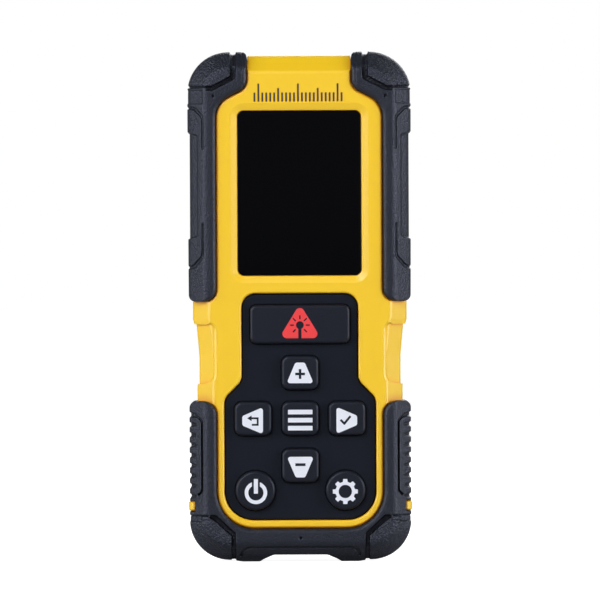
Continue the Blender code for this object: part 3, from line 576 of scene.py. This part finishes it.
def front_casing():
    shell = casing_half("front_casing", -1, FRONT_PARTING)
    cut(shell, *hollow(-1, FRONT_PARTING))
    bosses = []
    pilots = []
    for _, x, z, _, through_board in CASE_SCREWS:
        for sign in (-1, 1):
            end = BOARD_FRONT - 0.2 if through_board else FRONT_PARTING - 0.2
            bosses.append(cylinder("boss", (sign * x, z), BOSS_RADIUS, FRONT_INSIDE - 1, end))
            pilots.append(cylinder("pilot", (sign * x, z), PILOT_RADIUS, PILOT_FLOOR, end + 1))
    for sign in (-1, 1):
        place = (sign * BOARD_SCREW[0], BOARD_SCREW[1])
        bosses.append(cylinder("boss", place, BOSS_RADIUS, FRONT_INSIDE - 1, BOARD_FRONT - 0.2))
        pilots.append(cylinder("pilot", place, PILOT_RADIUS, PILOT_FLOOR, BOARD_FRONT + 1))
    join(shell, *bosses)
    window = mirrored(WINDOW)
    slope = [
        (WINDOW_LEDGE, 0.0), (WINDOW_FACE + 0.12, 0.0), (WINDOW_FACE - 0.03, 0.12),
        (0.07 - SHELL_FACE, WINDOW_BEVEL - 0.1), (-0.004 - SHELL_FACE, WINDOW_BEVEL + 0.3),
        (-1 - SHELL_FACE, WINDOW_BEVEL + 0.3),
    ]
    frame_cut = solid("window_cut", window, slope)
    sight = plate("sight", grown(window, -1.4), WINDOW_LEDGE - 0.2, FRONT_INSIDE + 0.6)
    keypad = rim_tool(mirrored(KEYPAD), FRONT_INSIDE + 0.6, -SHELL_FACE, 0.6)
    cut(shell, frame_cut, sight, keypad, top_opening(), *pilots)
    dress(shell, YELLOW)
    return stand_for(shell, "housing", "yellow_plastic", "front_shell")


def rear_casing():
    shell = casing_half("rear_casing", 1, REAR_PARTING)
    cut(shell, *hollow(1, REAR_PARTING))
    bosses = []
    holes = []
    for _, x, z, seat, through_board in CASE_SCREWS:
        for sign in (-1, 1):
            end = BOARD_BACK + 0.2 if through_board else REAR_PARTING
            place = (sign * x, z)
            bosses.append(cylinder("boss", place, BOSS_RADIUS, end, REAR_INSIDE + 0.25))
            holes.append(cylinder("hole", place, PILOT_RADIUS, end - 1, seat + 0.1))
            holes.append(rim_tool(circle(*place, 2.1), seat, SHELL_FACE, 0.25))
    bay_box = box("bay_box", (-13.3, -2.1, 9.6), (13.3, 11.5, 66.4))
    socket_boss = cylinder("socket_boss", (0, SOCKET_Z), 6.2, 4.0, 12.0)
    join(shell, *bosses, bay_box, socket_boss)
    bay = box("bay", (-11.2, -0.9, 13.4), (11.2, BEYOND, 62.0))
    rebate = rim_tool(rectangle(*DOOR_REBATE), 10.9, SHELL_FACE, 0.25)
    catch = box("catch", (-4.7, LATCH_POCKET_FLOOR, 64.0), (4.7, BEYOND, 66.6))
    tab_pockets = [box("tab_pocket", (x, 9.4, 9.3), (x + 5.6, 11.2, 14.9)) for x in (-8.8, 3.2)]
    socket = rim_tool(circle(0, SOCKET_Z, SOCKET_RADIUS + 0.3), 5.1, SHELL_FACE, 0.3)
    label = rim_tool(rectangle(*LABEL_RECESS), 12.5, SHELL_FACE, 0.3)
    cut(shell, bay, rebate, catch, *tab_pockets, socket, label, top_opening(), *holes)
    dress(shell, YELLOW)
    return stand_for(shell, "housing", "yellow_plastic", "rear_shell")


# ---------- rubber bumpers

VOXEL = 0.16  # resolution of the moulded rubber
KEPT_SHARE = 0.22  # of its faces, once the rubber is smooth
LIP_RADIUS = 1.15  # of the bumpers' rounded inner edges
SEAM_FRONT_DEPTH = 1.45  # of the widest grooves in the front, short of the core
GATE_RADIUS = 0.35  # of the small dots where the rubber was injected
GATE_DEPTH = 0.6


def envelope(inset=0.0):
    """The outer form of all the bumpers, or the same form a little smaller all round."""
    chamfer = RUBBER_CHAMFER - (2 - sqrt(2)) * inset
    rim = chamfer_rim(inset - RUBBER_FACE, 1, chamfer, 2.6)
    profile = rim[::-1] + [(-level, growth) for level, growth in rim]
    outline = mirrored(RUBBER_ENVELOPE)
    return solid("envelope", grown(outline, -inset) if inset else outline, profile)


def engraving(corners, depth, front_depth=None):
    """A cutter that sinks an outline's area below the bumpers' outer form, deeper in the front."""
    tool = plate("engraving", arcs(corners), -BEYOND, BEYOND)
    cut(tool, envelope(depth))
    if front_depth:
        join(tool, plate("front", arcs(corners), -BEYOND, front_depth - RUBBER_FACE))
    return tool


def band(start, end, width):
    """The corners of a straight band of the given width between two (x, z) points."""
    start, end = Vector(start), Vector(end)
    along = (end - start).normalized()
    across = Vector((-along.y, along.x)) * width / 2
    return [(*(start + across), 0), (*(end + across), 0), (*(end - across), 0), (*(start - across), 0)]


def soften(piece):
    """Melt a rubber piece into one skin with soft edges."""
    fuse = piece.modifiers.new("fuse", "REMESH")
    fuse.mode = "VOXEL"
    fuse.voxel_size = VOXEL
    relax = piece.modifiers.new("relax", "SMOOTH")
    relax.factor = 0.5
    relax.iterations = 3
    thin = piece.modifiers.new("thin", "DECIMATE")
    thin.ratio = KEPT_SHARE
    bake(piece)
    piece.data.shade_smooth()
    return piece


def rubber_body(name, corners):
    rim = round_rim(-RUBBER_FACE, 1, LIP_RADIUS)
    profile = rim[::-1] + [(-level, growth) for level, growth in rim]
    body = solid(name, arcs(corners), profile)
    clear = 0.25
    depth = CORE_FACE + clear
    core_profile = [
        (-depth, -CORE_CHAMFER), (-depth + CORE_CHAMFER, 0),
        (depth - CORE_CHAMFER, 0), (depth, -CORE_CHAMFER),
    ]
    core = solid("core", grown(mirrored(CORE), clear), core_profile)
    keep(body, envelope())
    return cut(body, core, *[waist_tongue(side, -2.0 * side, TONGUE_POCKET_INSET) for side in (-1, 1)])


def dress_rubber(piece, is_cap):
    """Bring a bumper to metres, with coarse rubber where is_cap(x, z) says so and fine elsewhere."""
    piece.data.transform(TO_METRES)
    piece.data.materials.clear()
    piece.data.materials.append(RUBBER)
    piece.data.materials.append(CAP_RUBBER)
    for face in piece.data.polygons:
        if is_cap(abs(face.center.x) / MM, face.center.z / MM):
            face.material_index = 1
    return piece


def in_upper_cap(x, z):
    """Is a place on the cap side of the groove, which slants down outwards?"""
    return x > 16.3 and z > 118.0 - (x - 16.3) * 0.41 and z > 116.2


def in_lower_cap(x, z):
    """Is a place on the cap side of the groove, which slants up outwards?"""
    return x > 16.4 and z < 6.6 + (x - 16.4) * 0.74 and z < 10.6


def upper_bumpers():
    right = rubber_body("upper_bumper_right", UPPER_BUMPER)
    seams = [  # (corners, depth, depth in the front)
        # the groove round the cap: down from the top, slanting out, then across to the side
        ([(15.5, 130, 0), (15.5, 118.9, 0), (16.9, 118.3, 0), (16.9, 130, 0)], 0.6, SEAM_FRONT_DEPTH),
        ([(15.5, 119.3, 0), (15.5, 118.5, 0), (16.2, 117.9, 0), (21.0, 115.5, 0), (22.8, 115.4, 0),
          (22.8, 116.5, 0), (21.5, 116.5, 0), (16.9, 118.95, 0)], 0.8, SEAM_FRONT_DEPTH),
        ([(22.5, 116.15, 0), (30, 116.15, 0), (30, 116.7, 0), (22.5, 116.6, 0)], 0.55),
        # the collar below the cap
        ([(23.6, 112.2, 0), (30, 112.2, 0), (30, 115.7, 0), (23.6, 115.7, 0)], 0.18),
        # the edges of the side grip
        ([(23.45, 101.0, 0), (23.45, 109.2, 2.2), (25.6, 111.5, 1.6), (30, 111.7, 0), (30, 111.1, 0),
          (26.0, 110.9, 1.2), (23.95, 108.9, 1.8), (23.95, 101.0, 0)], 0.4),
        ([(24.9, 104.5, 0), (30, 106.2, 0), (30, 78.3, 0), (24.9, 79.8, 0)], 0.55),
        ([(23.45, 83.0, 0), (23.45, 74.6, 2.0), (25.8, 71.9, 1.6), (30, 71.5, 0), (30, 72.2, 0),
          (26.2, 72.6, 1.2), (24.0, 75.0, 1.6), (23.95, 83.0, 0)], 0.4),
        # the inner rib's crease
        ([(13.75, 130, 0), (13.75, 116.9, 0), (14.1, 116.9, 0), (14.1, 130, 0)], 0.15, 0.15),
    ]
    dot = cylinder("gate_dot", (21.1, 114.1), GATE_RADIUS, -BEYOND, GATE_DEPTH - RUBBER_FACE)
    cut(right, *[engraving(*seam) for seam in seams], dot)
    soften(right)
    left = right.copy()
    left.data = right.data.copy()
    left.name = "upper_bumper_left"
    left.data.transform(Matrix.Scale(-1, 4, Vector((1, 0, 0))))
    left.data.flip_normals()
    bpy.context.scene.collection.objects.link(left)
    for piece, node in ((left, "bumper_upper_left"), (right, "bumper_upper_right")):
        dress_rubber(piece, in_upper_cap)
        stand_for(piece, "housing", "bumper_rubber", node)


NOTCH_TOP = 36.15
NOTCH_PITCH = 2.5
NOTCHES = 9  # in each side grip of the lower bumper


def both_sides(corners):
    return [corners, [(-x, z, radius) for x, z, radius in corners]]


def grip_notches():
    """Wedges that widen outwards, one for each notch."""
    notches = []
    for number in range(NOTCHES):
        z = NOTCH_TOP - NOTCH_PITCH * number
        notches.append([
            (25.2, z, 0), (26.3, z + 0.5, 0), (30, z + 0.8, 0), (30, z - 0.8, 0), (26.3, z - 0.5, 0),
        ])
    return notches


def foot_lip():
    """A cutter for the narrow sunk line that arches over the foot."""
    arch = arcs([(-14.2, -9.7, 0), (-14.2, 3.1, 2.0), (14.2, 3.1, 2.0), (14.2, -9.7, 0)])
    line = engraving([(-14.9, 1.3, 0), (-14.9, 3.8, 2.4), (14.9, 3.8, 2.4), (14.9, 1.3, 0)], 0.35)
    return cut(line, plate("arch", arch, -2 * BEYOND, 2 * BEYOND))


def rib_slots():
    """Cutters that let the casing's ribs show through both sides."""
    low, high = SIDE_RIB
    foot, top = low - 0.2, high + 0.2
    depth = SIDE_RIB_REACH[1] + 0.9
    slots = []
    for left, outer in ((-31.5, -31.5), (23.5, 26.0)):
        slots.append(box("rib_slot", (left, -depth, foot), (left + 8, depth, top)))
        slots.append(box("rib_mouth", (outer, -BEYOND, foot), (outer + 5.5, BEYOND, top)))
    return slots


def lower_bumper():
    body = rubber_body("lower_bumper", LOWER_BUMPER + flipped(LOWER_BUMPER))
    seams = [  # (corners, depth, depth in the front)
        # the groove and the line round the side grip
        ([(23.85, 34.6, 1.0), (25.2, 35.9, 1.0), (30, 35.9, 0), (30, 35.5, 0), (25.4, 35.5, 0.7),
          (24.3, 34.4, 0.7), (24.3, 17.4, 0.7), (25.2, 16.6, 0), (25.0, 16.1, 0), (23.85, 17.2, 1.0)], 0.6),
        ([(23.15, 35.4, 0), (23.4, 35.4, 0), (23.4, 16.9, 0), (23.15, 16.9, 0)], 0.3),
        # two short lines above the cap, and the hollow between them
        ([(22.4, 11.1, 0), (30, 11.1, 0), (30, 11.5, 0), (22.4, 11.5, 0)], 0.6),
        ([(22.0, 9.95, 0), (24.5, 9.95, 0), (24.5, 10.35, 0), (22.0, 10.35, 0)], 0.6),
        ([(24.3, 9.9, 0), (30, 9.9, 0), (30, 11.5, 0), (24.3, 11.5, 0)], 0.4),
        # the groove round the cap: slanting in, then down to the foot
        ([(22.0, 11.5, 0), (20.7, 11.5, 0), (15.85, 7.0, 0), (15.85, 6.0, 0), (16.95, 6.4, 0),
          (20.95, 10.0, 0), (22.3, 10.8, 0)], 0.7, SEAM_FRONT_DEPTH),
        ([(15.85, -5, 0), (15.85, 7.0, 0), (16.95, 6.6, 0), (16.95, -5, 0)], 0.65, SEAM_FRONT_DEPTH),
    ]
    seams += [(notch, 0.65) for notch in grip_notches()]
    tools = [engraving(corners, *depths) for shape, *depths in seams for corners in both_sides(shape)]
    tools.append(foot_lip())
    tools += rib_slots()
    _, x, z, _, _ = CASE_SCREWS[-1]
    for sign in (-1, 1):
        tools.append(cylinder("screw_access", (sign * x, z), 2.3, 8.0, BEYOND))
    tools.append(cylinder("gate_dot", (0, 5.8), GATE_RADIUS, -BEYOND, GATE_DEPTH - RUBBER_FACE))
    cut(body, *tools)
    soften(body)
    dress_rubber(body, in_lower_cap)
    return stand_for(body, "housing", "bumper_rubber", "bumper_lower")


# ---------- display, keypad and print


def display():
    outline = grown(mirrored(WINDOW), -0.12)
    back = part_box("display_window")[1].y / MM
    pane = solid("display_pane", outline, [(back, 0.0)] + round_rim(WINDOW_FACE, 1, 0.15, steps=4))
    dress(pane, GLASS_BLACK)
    stand_for(pane, "housing", "display_glass", "display_window")


def keypad():
    outline = mirrored(KEYPAD)
    mat = solid("keypad_mat_moulded", grown(outline, -0.12), [(MAT_STEP, 0.0)] + round_rim(MAT_FACE, 1, 0.5))
    flange = plate("flange", grown(outline, 1.0), MAT_STEP - 0.02, MAT_BACK)
    holes = []
    for name in KEYS:
        holes.append(rim_tool(key_outline(name), MAT_BACK + 1, MAT_FACE, 0.12, 0.16))
    join(mat, flange)
    cut(mat, *holes)
    dress(mat, MAT_RUBBER)
    stand_for(mat, "housing", "keypad_rubber", "keypad_mat")


def key_outline(name):
    x, z, width, height, radius = KEYS[name]
    return rectangle(x - width / 2, x + width / 2, z - height / 2, z + height / 2, radius)


def key_cap(name):
    outline = key_outline(name)
    x, z, _, _, _ = KEYS[name]
    rim = round_rim(KEY_FACE, 1, KEY_ROUNDING, KEY_GROWTH)
    cap = solid(name + "_cap", outline, [(KEY_SKIRT, KEY_GROWTH)] + rim)
    skirt = plate("skirt", grown(outline, 0.7), KEY_SKIRT - 0.02, KEY_BACK)
    stub = cylinder("stub", (x, z), 1.3, KEY_BACK - 0.1, KEY_STUB)
    join(cap, skirt, stub)
    dress(cap, KEY_RUBBER)
    stand_for(cap, name, "keypad_rubber", name)


INK = 0.05  # how far a printed legend stands out


def legend(name, outline, body, material, slot, *gaps, face=KEY_FACE):
    """A printed shape on a face, with gaps (outlines) through which the face shows."""
    mark = plate(name, outline, face - INK, face + 0.3)
    if gaps:
        cut(mark, *[plate("gap", gap, face - 1, face + 1) for gap in gaps])
    dress(mark, material)
    return stand_for(mark, body, slot)


def stroke(start, end, width):
    return arcs(band(start, end, width))


def measure_legend():
    """A rounded triangle with a dot that sends out rays, on a stem."""
    triangle = arcs([(-5.14, 54.75, 1.1), (5.14, 54.75, 1.1), (0, 63.15, 1.1)])
    dot = (0, 57.95)
    gaps = [circle(*dot, 0.95), stroke((0, 54.0), (0, 57.6), 0.78)]
    for degrees in (90, 135, 45, 180, 0, 225, -45):
        way = Vector((cos(radians(degrees)), sin(radians(degrees))))
        start = Vector(dot) + way * 1.45
        gaps.append(stroke(start, start + way * 0.95, 0.33))
    legend("measure_legend", triangle, "measure_key", LEGEND_RED, "legend_red", *gaps)


def wedge(x, z, degrees):
    """The rounded wedge behind a direction key's sign, turned from pointing up."""
    corners = [(-3.3, -2.53, 0.55), (3.3, -2.53, 0.55), (1.15, 2.53, 0.7), (-1.15, 2.53, 0.7)]
    turn = Matrix.Rotation(radians(degrees), 2)
    return arcs([(*(turn @ Vector((across, along)) + Vector((x, z))), r) for across, along, r in corners])


def direction_legends():
    plus = [stroke((-1.2, 46.0), (1.2, 46.0), 0.62), stroke((0, 44.8), (0, 47.2), 0.62)]
    legend("plus_legend", wedge(0, 46.26, 0), "plus_key", LEGEND_WHITE, "legend_white", *plus)
    minus = [stroke((-1.25, 23.8), (1.25, 23.8), 0.68)]
    legend("minus_legend", wedge(0, 23.2, 180), "minus_key", LEGEND_WHITE, "legend_white", *minus)
    arrow = [
        stroke((-11.85, 33.6), (-10.2, 33.6), 0.46), stroke((-10.42, 33.4), (-10.42, 35.4), 0.46),
        stroke((-10.2, 35.2), (-12.3, 35.2), 0.46),
        arcs([(-13.0, 35.2, 0), (-11.9, 34.5, 0), (-11.9, 35.9, 0)]),
    ]
    legend("back_legend", wedge(-11.66, 34.6, 90), "back_key", LEGEND_WHITE, "legend_white", *arrow)
    tick = [stroke((9.85, 34.75), (10.95, 33.65), 0.55), stroke((10.65, 33.65), (12.3, 35.65), 0.55)]
    legend("ok_legend", wedge(11.38, 34.6, -90), "ok_key", LEGEND_WHITE, "legend_white", *tick)


def menu_legend():
    for number, z in enumerate((36.68, 34.7, 32.74)):
        bar = rectangle(-3.0, 3.0, z - 0.56, z + 0.56, 0.12)
        legend(f"menu_legend_{number + 1}", bar, "menu_key", LEGEND_WHITE, "legend_white")


def round_legends():
    """A broken ring with a bar for power, and a gear for the settings."""
    x, z = -10.93, 16.95
    gaps = [circle(x, z, 1.86), rectangle(x - 0.98, x + 0.98, z + 0.8, z + 4)]
    legend("power_ring_legend", circle(x, z, 2.76), "power_key", LEGEND_WHITE, "legend_white", *gaps)
    bar = rectangle(x - 0.5, x + 0.5, z - 0.2, z + 3.4, 0.1)
    legend("power_bar_legend", bar, "power_key", LEGEND_WHITE, "legend_white")
    x, z = 10.95, 17.2
    teeth, root, tip = 8, 2.42, 3.1
    gear = []
    for tooth in range(teeth):
        middle = 2 * pi * tooth / teeth + pi / 2
        for radius, turn in ((root, -0.24), (tip, -0.16), (tip, 0.16), (root, 0.24)):
            gear.append((x + radius * cos(middle + turn), z + radius * sin(middle + turn), 0.12))
    legend("settings_legend", arcs(gear), "settings_key", LEGEND_WHITE, "legend_white", circle(x, z, 1.62))


def ruler_print():
    """A plain scale of ticks above the display."""
    ticks = 23
    left, pitch, foot = -10.9, 0.97, 112.7
    for number in range(ticks):
        height = 4.4 if number % 10 == 1 else 3.3 if number % 5 == 1 else 2.2
        x = left + number * pitch
        bar = rectangle(x - 0.2, x + 0.2, foot, foot + height)
        legend(f"scale_tick_{number + 1:02d}", bar, "housing", PRINT_DARK, "black_plastic", face=-SHELL_FACE)


# ---------- laser end


def laser_end():
    """The black frame with its two ports, and the filter window over them."""
    foot, face = BEZEL_LEVELS
    rim = round_rim(face, -1, 0.3, steps=4)
    bezel = solid("laser_bezel", rectangle(*BEZEL), [(foot, 0.0)] + rim, axis="Z")
    flange = plate("flange", rectangle(-12.2, 12.2, -8.6, 8.6, 2.4), foot - 0.02, foot + 0.8, axis="Z")
    recess = plate("recess", rectangle(-10.4, 10.4, -7.2, 7.2, 1.4), face - 1.1, 126.0, axis="Z")
    receiver = plate("port", circle(*RECEIVER, 6.1), 118.0, 126.0, axis="Z")
    emitter = plate("port", circle(*EMITTER, 2.7), 118.0, 126.0, axis="Z")
    join(bezel, flange)
    cut(bezel, recess, receiver, emitter)
    dress(bezel, BLACK_PLASTIC)
    stand_for(bezel, "housing", "black_plastic", "window_bezel")
    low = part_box("aperture_window")[0].z / MM
    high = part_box("aperture_window")[1].z / MM
    pane = rectangle(-10.2, 10.2, -7.0, 7.0, 1.2)
    window = solid("filter_window", pane, [(low, 0.0)] + round_rim(high, -1, 0.12, steps=4), axis="Z")
    dress(window, RED_FILTER)
    stand_for(window, "housing", "red_filter", "aperture_window")


# ---------- back: door, latch, socket, plate, screws


def battery_door():
    rim = round_rim(SHELL_FACE, -1, 0.3, steps=4)
    door = solid("battery_door_panel", rectangle(*DOOR), [(DOOR_LEVEL, 0.0)] + rim)
    tabs = []
    for left in (-8.5, 3.5):
        tabs.append(box("tab", (left, 10.2, 9.6), (left + 5.0, 10.95, 12.2)))
        tabs.append(box("tab_rib", (left, 10.9, 11.2), (left + 5.0, 11.8, 12.2)))
    join(door, *tabs)
    pocket = rim_tool(rectangle(-4.7, 4.7, 55.2, 67.0, 0.5), LATCH_POCKET_FLOOR, SHELL_FACE, 0.2)
    dip = solid("dip", circle(0, 53.4, 1.0), [(14.0, 4.2), (SHELL_FACE, 3.6), (12.85, 2.9), (12.6, 1.6)])
    lines = []
    for z in (17.0, 19.2, 21.4, 23.6):
        lines.append(solid("line", rectangle(-9.0, 9.0, z, z + 0.7, 0.3), [(12.85, 0.0), (14.0, 0.2)]))
    cut(door, pocket, dip, *lines)
    dress(door, YELLOW)
    stand_for(door, "battery_door", "yellow_plastic", "battery_door")


def battery_latch():
    low, high = LATCH_LEVELS
    rim = round_rim(high, -1, 0.2, steps=4)
    slider = solid("battery_latch_slider", rectangle(*LATCH), [(low, 0.0)] + rim)
    tongue = box("tongue", (-3.2, low, 64.0), (3.2, 13.15, 66.2))
    grips = []
    for number in range(4):
        z = 58.7 + 1.3 * number
        ridge = [(13.2, 0.1), (13.45, 0.0), (13.6, -0.15)]
        grips.append(solid("grip", rectangle(-3.4, 3.4, z, z + 0.6, 0.1), ridge))
    join(slider, tongue, *grips)
    dress(slider, BLACK_PLASTIC)
    stand_for(slider, "battery_latch", "black_plastic", "battery_latch")


def tripod_socket():
    insert = plate("tripod_socket", circle(0, SOCKET_Z, SOCKET_RADIUS), 5.4, 12.9)
    crest, root, pitch = 2.9, 3.2, 1.27
    bore = [(crest, 6.6)]
    for turn in range(4):
        level = 7.0 + pitch * turn
        bore += [(crest, level), (root, level + pitch / 2)]
    bore += [(root, 12.3), (3.9, 13.1)]
    thread = turned("thread", bore, (0, SOCKET_Z), axis="Y")
    cut(insert, thread)
    dress(insert, BRASS, sharp=25)
    stand_for(insert, "housing", "brass", "tripod_insert")


def blank_plate():
    rim = round_rim(13.15, -1, 0.1, steps=4)
    blank = solid("blank_plate", rectangle(*LABEL), [(12.8, 0.0)] + rim)
    dress(blank, PLATE_METAL)
    stand_for(blank, "housing", "label_plate", "label_plate")


def screw(name, x, z, seat, tip):
    """A pan-head screw with a six-lobed drive."""
    shank = [(0.2, tip), (0.9, tip + 0.8), (1.0, tip + 1.0), (1.0, seat + 0.1)]
    head = [
        (1.75, seat + 0.1), (1.75, seat + 0.6), (1.6, seat + 0.95), (1.25, seat + 1.2), (0.9, seat + 1.28),
    ]
    body = turned(name, shank + head, (x, z), axis="Y", sides=40)
    lobes, points = 6, 36
    star = []
    for step in range(points):
        turn = 2 * pi * step / points
        radius = 0.72 + 0.12 * cos(lobes * turn)
        star.append(Vector((x + radius * cos(turn), z + radius * sin(turn))))
    cut(body, plate("drive", star, seat + 0.5, seat + 3))
    dress(body, BLACK_STEEL, sharp=40)
    return body


def screws():
    for sign, hand in ((-1, "left"), (1, "right")):
        for name, x, z, seat, _ in CASE_SCREWS:
            piece = screw(f"{name}_{hand}_torx", sign * x, z, seat, SCREW_TIP)
            stand_for(piece, "housing", "steel", f"{name}_{hand}")


# ---------- cells and contacts


def cell(node, sign, low, plus_up):
    """An AAA cell: steel can, dark film, positive cap, copper band at its plus end."""
    rings = [
        (3.9, 0.0), (4.3, 0.0), (4.6, 0.35), (4.9, 0.35), (CELL_RADIUS, 0.65), (CELL_RADIUS, 43.0),
        (5.0, 43.4), (4.3, 43.5), (2.2, 43.5), (1.9, 43.6), (1.9, 44.3), (1.7, CELL_LENGTH),
    ]
    if not plus_up:
        rings = [(radius, CELL_LENGTH - z) for radius, z in reversed(rings)]
    centre = (sign * CELL_X, CELL_Y)
    body = turned(node + "_cell", [(radius, low + z) for radius, z in rings], centre, sides=56)
    dress(body, STEEL, sharp=30)
    body.data.materials.append(CELL_DARK)
    for face in body.data.polygons:
        if (face.center.xy / MM - Vector(centre)).length > CELL_RADIUS - 0.15:
            face.material_index = 1
    foot, top = (low + 31.5, low + 42.9) if plus_up else (low + 1.6, low + 13.0)
    outer, inner = CELL_RADIUS + 0.03, CELL_RADIUS - 0.05
    ring = turned(node + "_band", [(outer, foot), (outer, top)], centre, sides=56)
    cut(ring, turned("hole", [(inner, foot - 1), (inner, top + 1)], centre, sides=56))
    dress(ring, CELL_BAND)
    stand_for(body, "housing", "cell_jacket", node)
    stand_for(ring, "housing", "cell_jacket")


def contact_spring(node, x, low, high, wide_end_low):
    """A conical coil of round wire."""
    turns, wide, narrow, wire = 2.5, 3.2, 1.9, 0.22
    curve = bpy.data.curves.new(node + "_coil", "CURVE")
    curve.dimensions = "3D"
    curve.bevel_depth = wire * MM
    curve.bevel_resolution = 3
    curve.use_fill_caps = True
    spline = curve.splines.new("POLY")
    count = 80
    spline.points.add(count)
    for index, point in enumerate(spline.points):
        share = index / count
        turn = 2 * pi * turns * share
        radius = wide + (narrow - wide) * share
        rise = (high - low - 2 * wire) * share
        z = low + wire + rise if wide_end_low else high - wire - rise
        point.co = ((x + radius * cos(turn)) * MM, (CELL_Y + radius * sin(turn)) * MM, z * MM, 1)
    coil = bpy.data.objects.new(node + "_coil", curve)
    curve.materials.append(STEEL)
    bpy.context.scene.collection.objects.link(coil)
    stand_for(coil, "housing", "steel", node)


def batteries():
    cell("battery_left", -1, 16.6, plus_up=True)
    cell("battery_right", 1, 14.3, plus_up=False)
    contact_spring("contact_spring_left", -CELL_X, 14.3, 16.3, wide_end_low=True)
    contact_spring("contact_spring_right", CELL_X, 59.1, 61.1, wide_end_low=False)


# ---------- CAD nodes that are carried over

CARRIED = {
    SEAL_RUBBER: ["shell_seal", "display_gasket", "battery_door_seal"],
    GLASS_BLACK: ["lcd_module"],
    FLEX: ["display_flex"],
    BLACK_PLASTIC: ["flex_connector", "processor_chip", "buzzer", "optics_chassis"],
    FILM: ["dome_sheet"],
    BOARD: ["main_board", "sensor_board"],
    STEEL: ["shield_can", "receiver_sensor", "contact_plate_left", "contact_plate_right", "contact_bridge",
            "board_screw_left", "board_screw_right"],
    LENS: ["receiver_lens", "emitter_lens"],
    BRASS: ["laser_module"],
}


def carried_nodes():
    for material, names in CARRIED.items():
        for name in names:
            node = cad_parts[name]
            node.data.materials.clear()
            node.data.materials.append(material)


# ---------- stage, light, camera

FLOOR_REACH = 4000.0  # metres; the floor isn't shrunk, so that it reaches the horizon
FLOOR_SHADE = 0.45
FLOOR_GLOW = 0.93  # for the camera alone, to match the background
FILL_LEVELS = (0.34, 0.06)  # of the surrounding light, at the horizon and at the zenith
LIGHTS = [  # (name, place, width, height, power), in metres and watts
    ("key_light", (-0.5, -0.85, 0.7), 0.5, 0.5, 5.9),
    ("side_light_left", (-0.92, -0.37, 0.1), 0.35, 0.9, 6.4),
    ("side_light_right", (0.92, -0.37, 0.1), 0.35, 0.9, 9.8),
    ("edge_light_left", (-0.75, -0.75, 0.06), 0.12, 0.9, 1.6),
    ("edge_light_right", (0.75, -0.75, 0.06), 0.12, 0.9, 1.4),
    ("back_light", (0.3, 1.1, 0.7), 0.9, 0.9, 9.0),
]


def stage():
    """A pale floor, level with the meter's foot."""
    outline = rectangle(-FLOOR_REACH, FLOOR_REACH, -FLOOR_REACH, FLOOR_REACH)
    floor = plate("floor", outline, -20.0, 0.0, axis="Z")
    material = bpy.data.materials.new("pale_floor")
    material.use_nodes = True
    tree = material.node_tree
    shader = tree.nodes["Principled BSDF"]
    shader.inputs["Base Color"].default_value = (FLOOR_SHADE, FLOOR_SHADE, FLOOR_SHADE, 1)
    shader.inputs["Roughness"].default_value = 0.9
    shader.inputs["Emission Color"].default_value = (1, 1, 1, 1)
    rays = tree.nodes.new("ShaderNodeLightPath")
    glow = tree.nodes.new("ShaderNodeMath")
    glow.operation = "MULTIPLY"
    glow.inputs[1].default_value = FLOOR_GLOW
    tree.links.new(rays.outputs["Is Camera Ray"], glow.inputs[0])
    tree.links.new(glow.outputs[0], shader.inputs["Emission Strength"])
    floor.data.materials.append(material)


def surroundings():
    """A white background, and a soft light all round that fades upwards."""
    world = bpy.context.scene.world or bpy.data.worlds.new("studio")
    bpy.context.scene.world = world
    world.use_nodes = True
    nodes = world.node_tree.nodes
    link = world.node_tree.links.new
    nodes.clear()
    rays = nodes.new("ShaderNodeLightPath")
    seen = nodes.new("ShaderNodeBackground")
    seen.inputs["Color"].default_value = (1, 1, 1, 1)
    fill = nodes.new("ShaderNodeBackground")
    fill.inputs["Color"].default_value = (0.93, 0.96, 1.0, 1)
    sky = nodes.new("ShaderNodeTexCoord")
    split = nodes.new("ShaderNodeSeparateXYZ")
    dimmer = nodes.new("ShaderNodeMapRange")
    dimmer.inputs["To Min"].default_value = FILL_LEVELS[0]
    dimmer.inputs["To Max"].default_value = FILL_LEVELS[1]
    mix = nodes.new("ShaderNodeMixShader")
    out = nodes.new("ShaderNodeOutputWorld")
    link(sky.outputs["Generated"], split.inputs["Vector"])
    link(split.outputs["Z"], dimmer.inputs["Value"])
    link(dimmer.outputs["Result"], fill.inputs["Strength"])
    link(rays.outputs["Is Camera Ray"], mix.inputs[0])
    link(fill.outputs[0], mix.inputs[1])
    link(seen.outputs[0], mix.inputs[2])
    link(mix.outputs[0], out.inputs[0])


def softbox(name, place, width, height, power):
    """A rectangular light aimed at the middle of the meter."""
    light = bpy.data.lights.new(name, "AREA")
    light.shape = "RECTANGLE"
    light.size = width
    light.size_y = height
    light.energy = power
    lamp = bpy.data.objects.new(name, light)
    lamp.location = place
    aim = Vector((0, 0, HEIGHT / 2 * MM)) - Vector(place)
    lamp.rotation_euler = aim.to_track_quat("-Z", "Y").to_euler()
    bpy.context.scene.collection.objects.link(lamp)


def camera():
    """Straight in front, from far enough away that the view has almost no perspective."""
    view_width = 147.1
    lens = bpy.data.cameras.new("camera")
    lens.lens = 500
    lens.sensor_width = 36
    lens.clip_end = 50
    distance = view_width * lens.lens / lens.sensor_width
    eye = bpy.data.objects.new("camera", lens)
    eye.location = Vector((0.06, -distance - 10.0, 64.1)) * MM
    eye.rotation_euler = (radians(90), radians(0.24), 0)
    bpy.context.scene.collection.objects.link(eye)
    bpy.context.scene.camera = eye


# ---------- everything

bpy.context.scene.view_settings.view_transform = "Standard"
camera()
stage()
surroundings()
for light in LIGHTS:
    softbox(*light)
front_casing()
rear_casing()
upper_bumpers()
lower_bumper()
display()
keypad()
for key in KEYS:
    key_cap(key)
measure_legend()
direction_legends()
menu_legend()
round_legends()
ruler_print()
laser_end()
battery_door()
battery_latch()
tripod_socket()
blank_plate()
screws()
batteries()
carried_nodes()
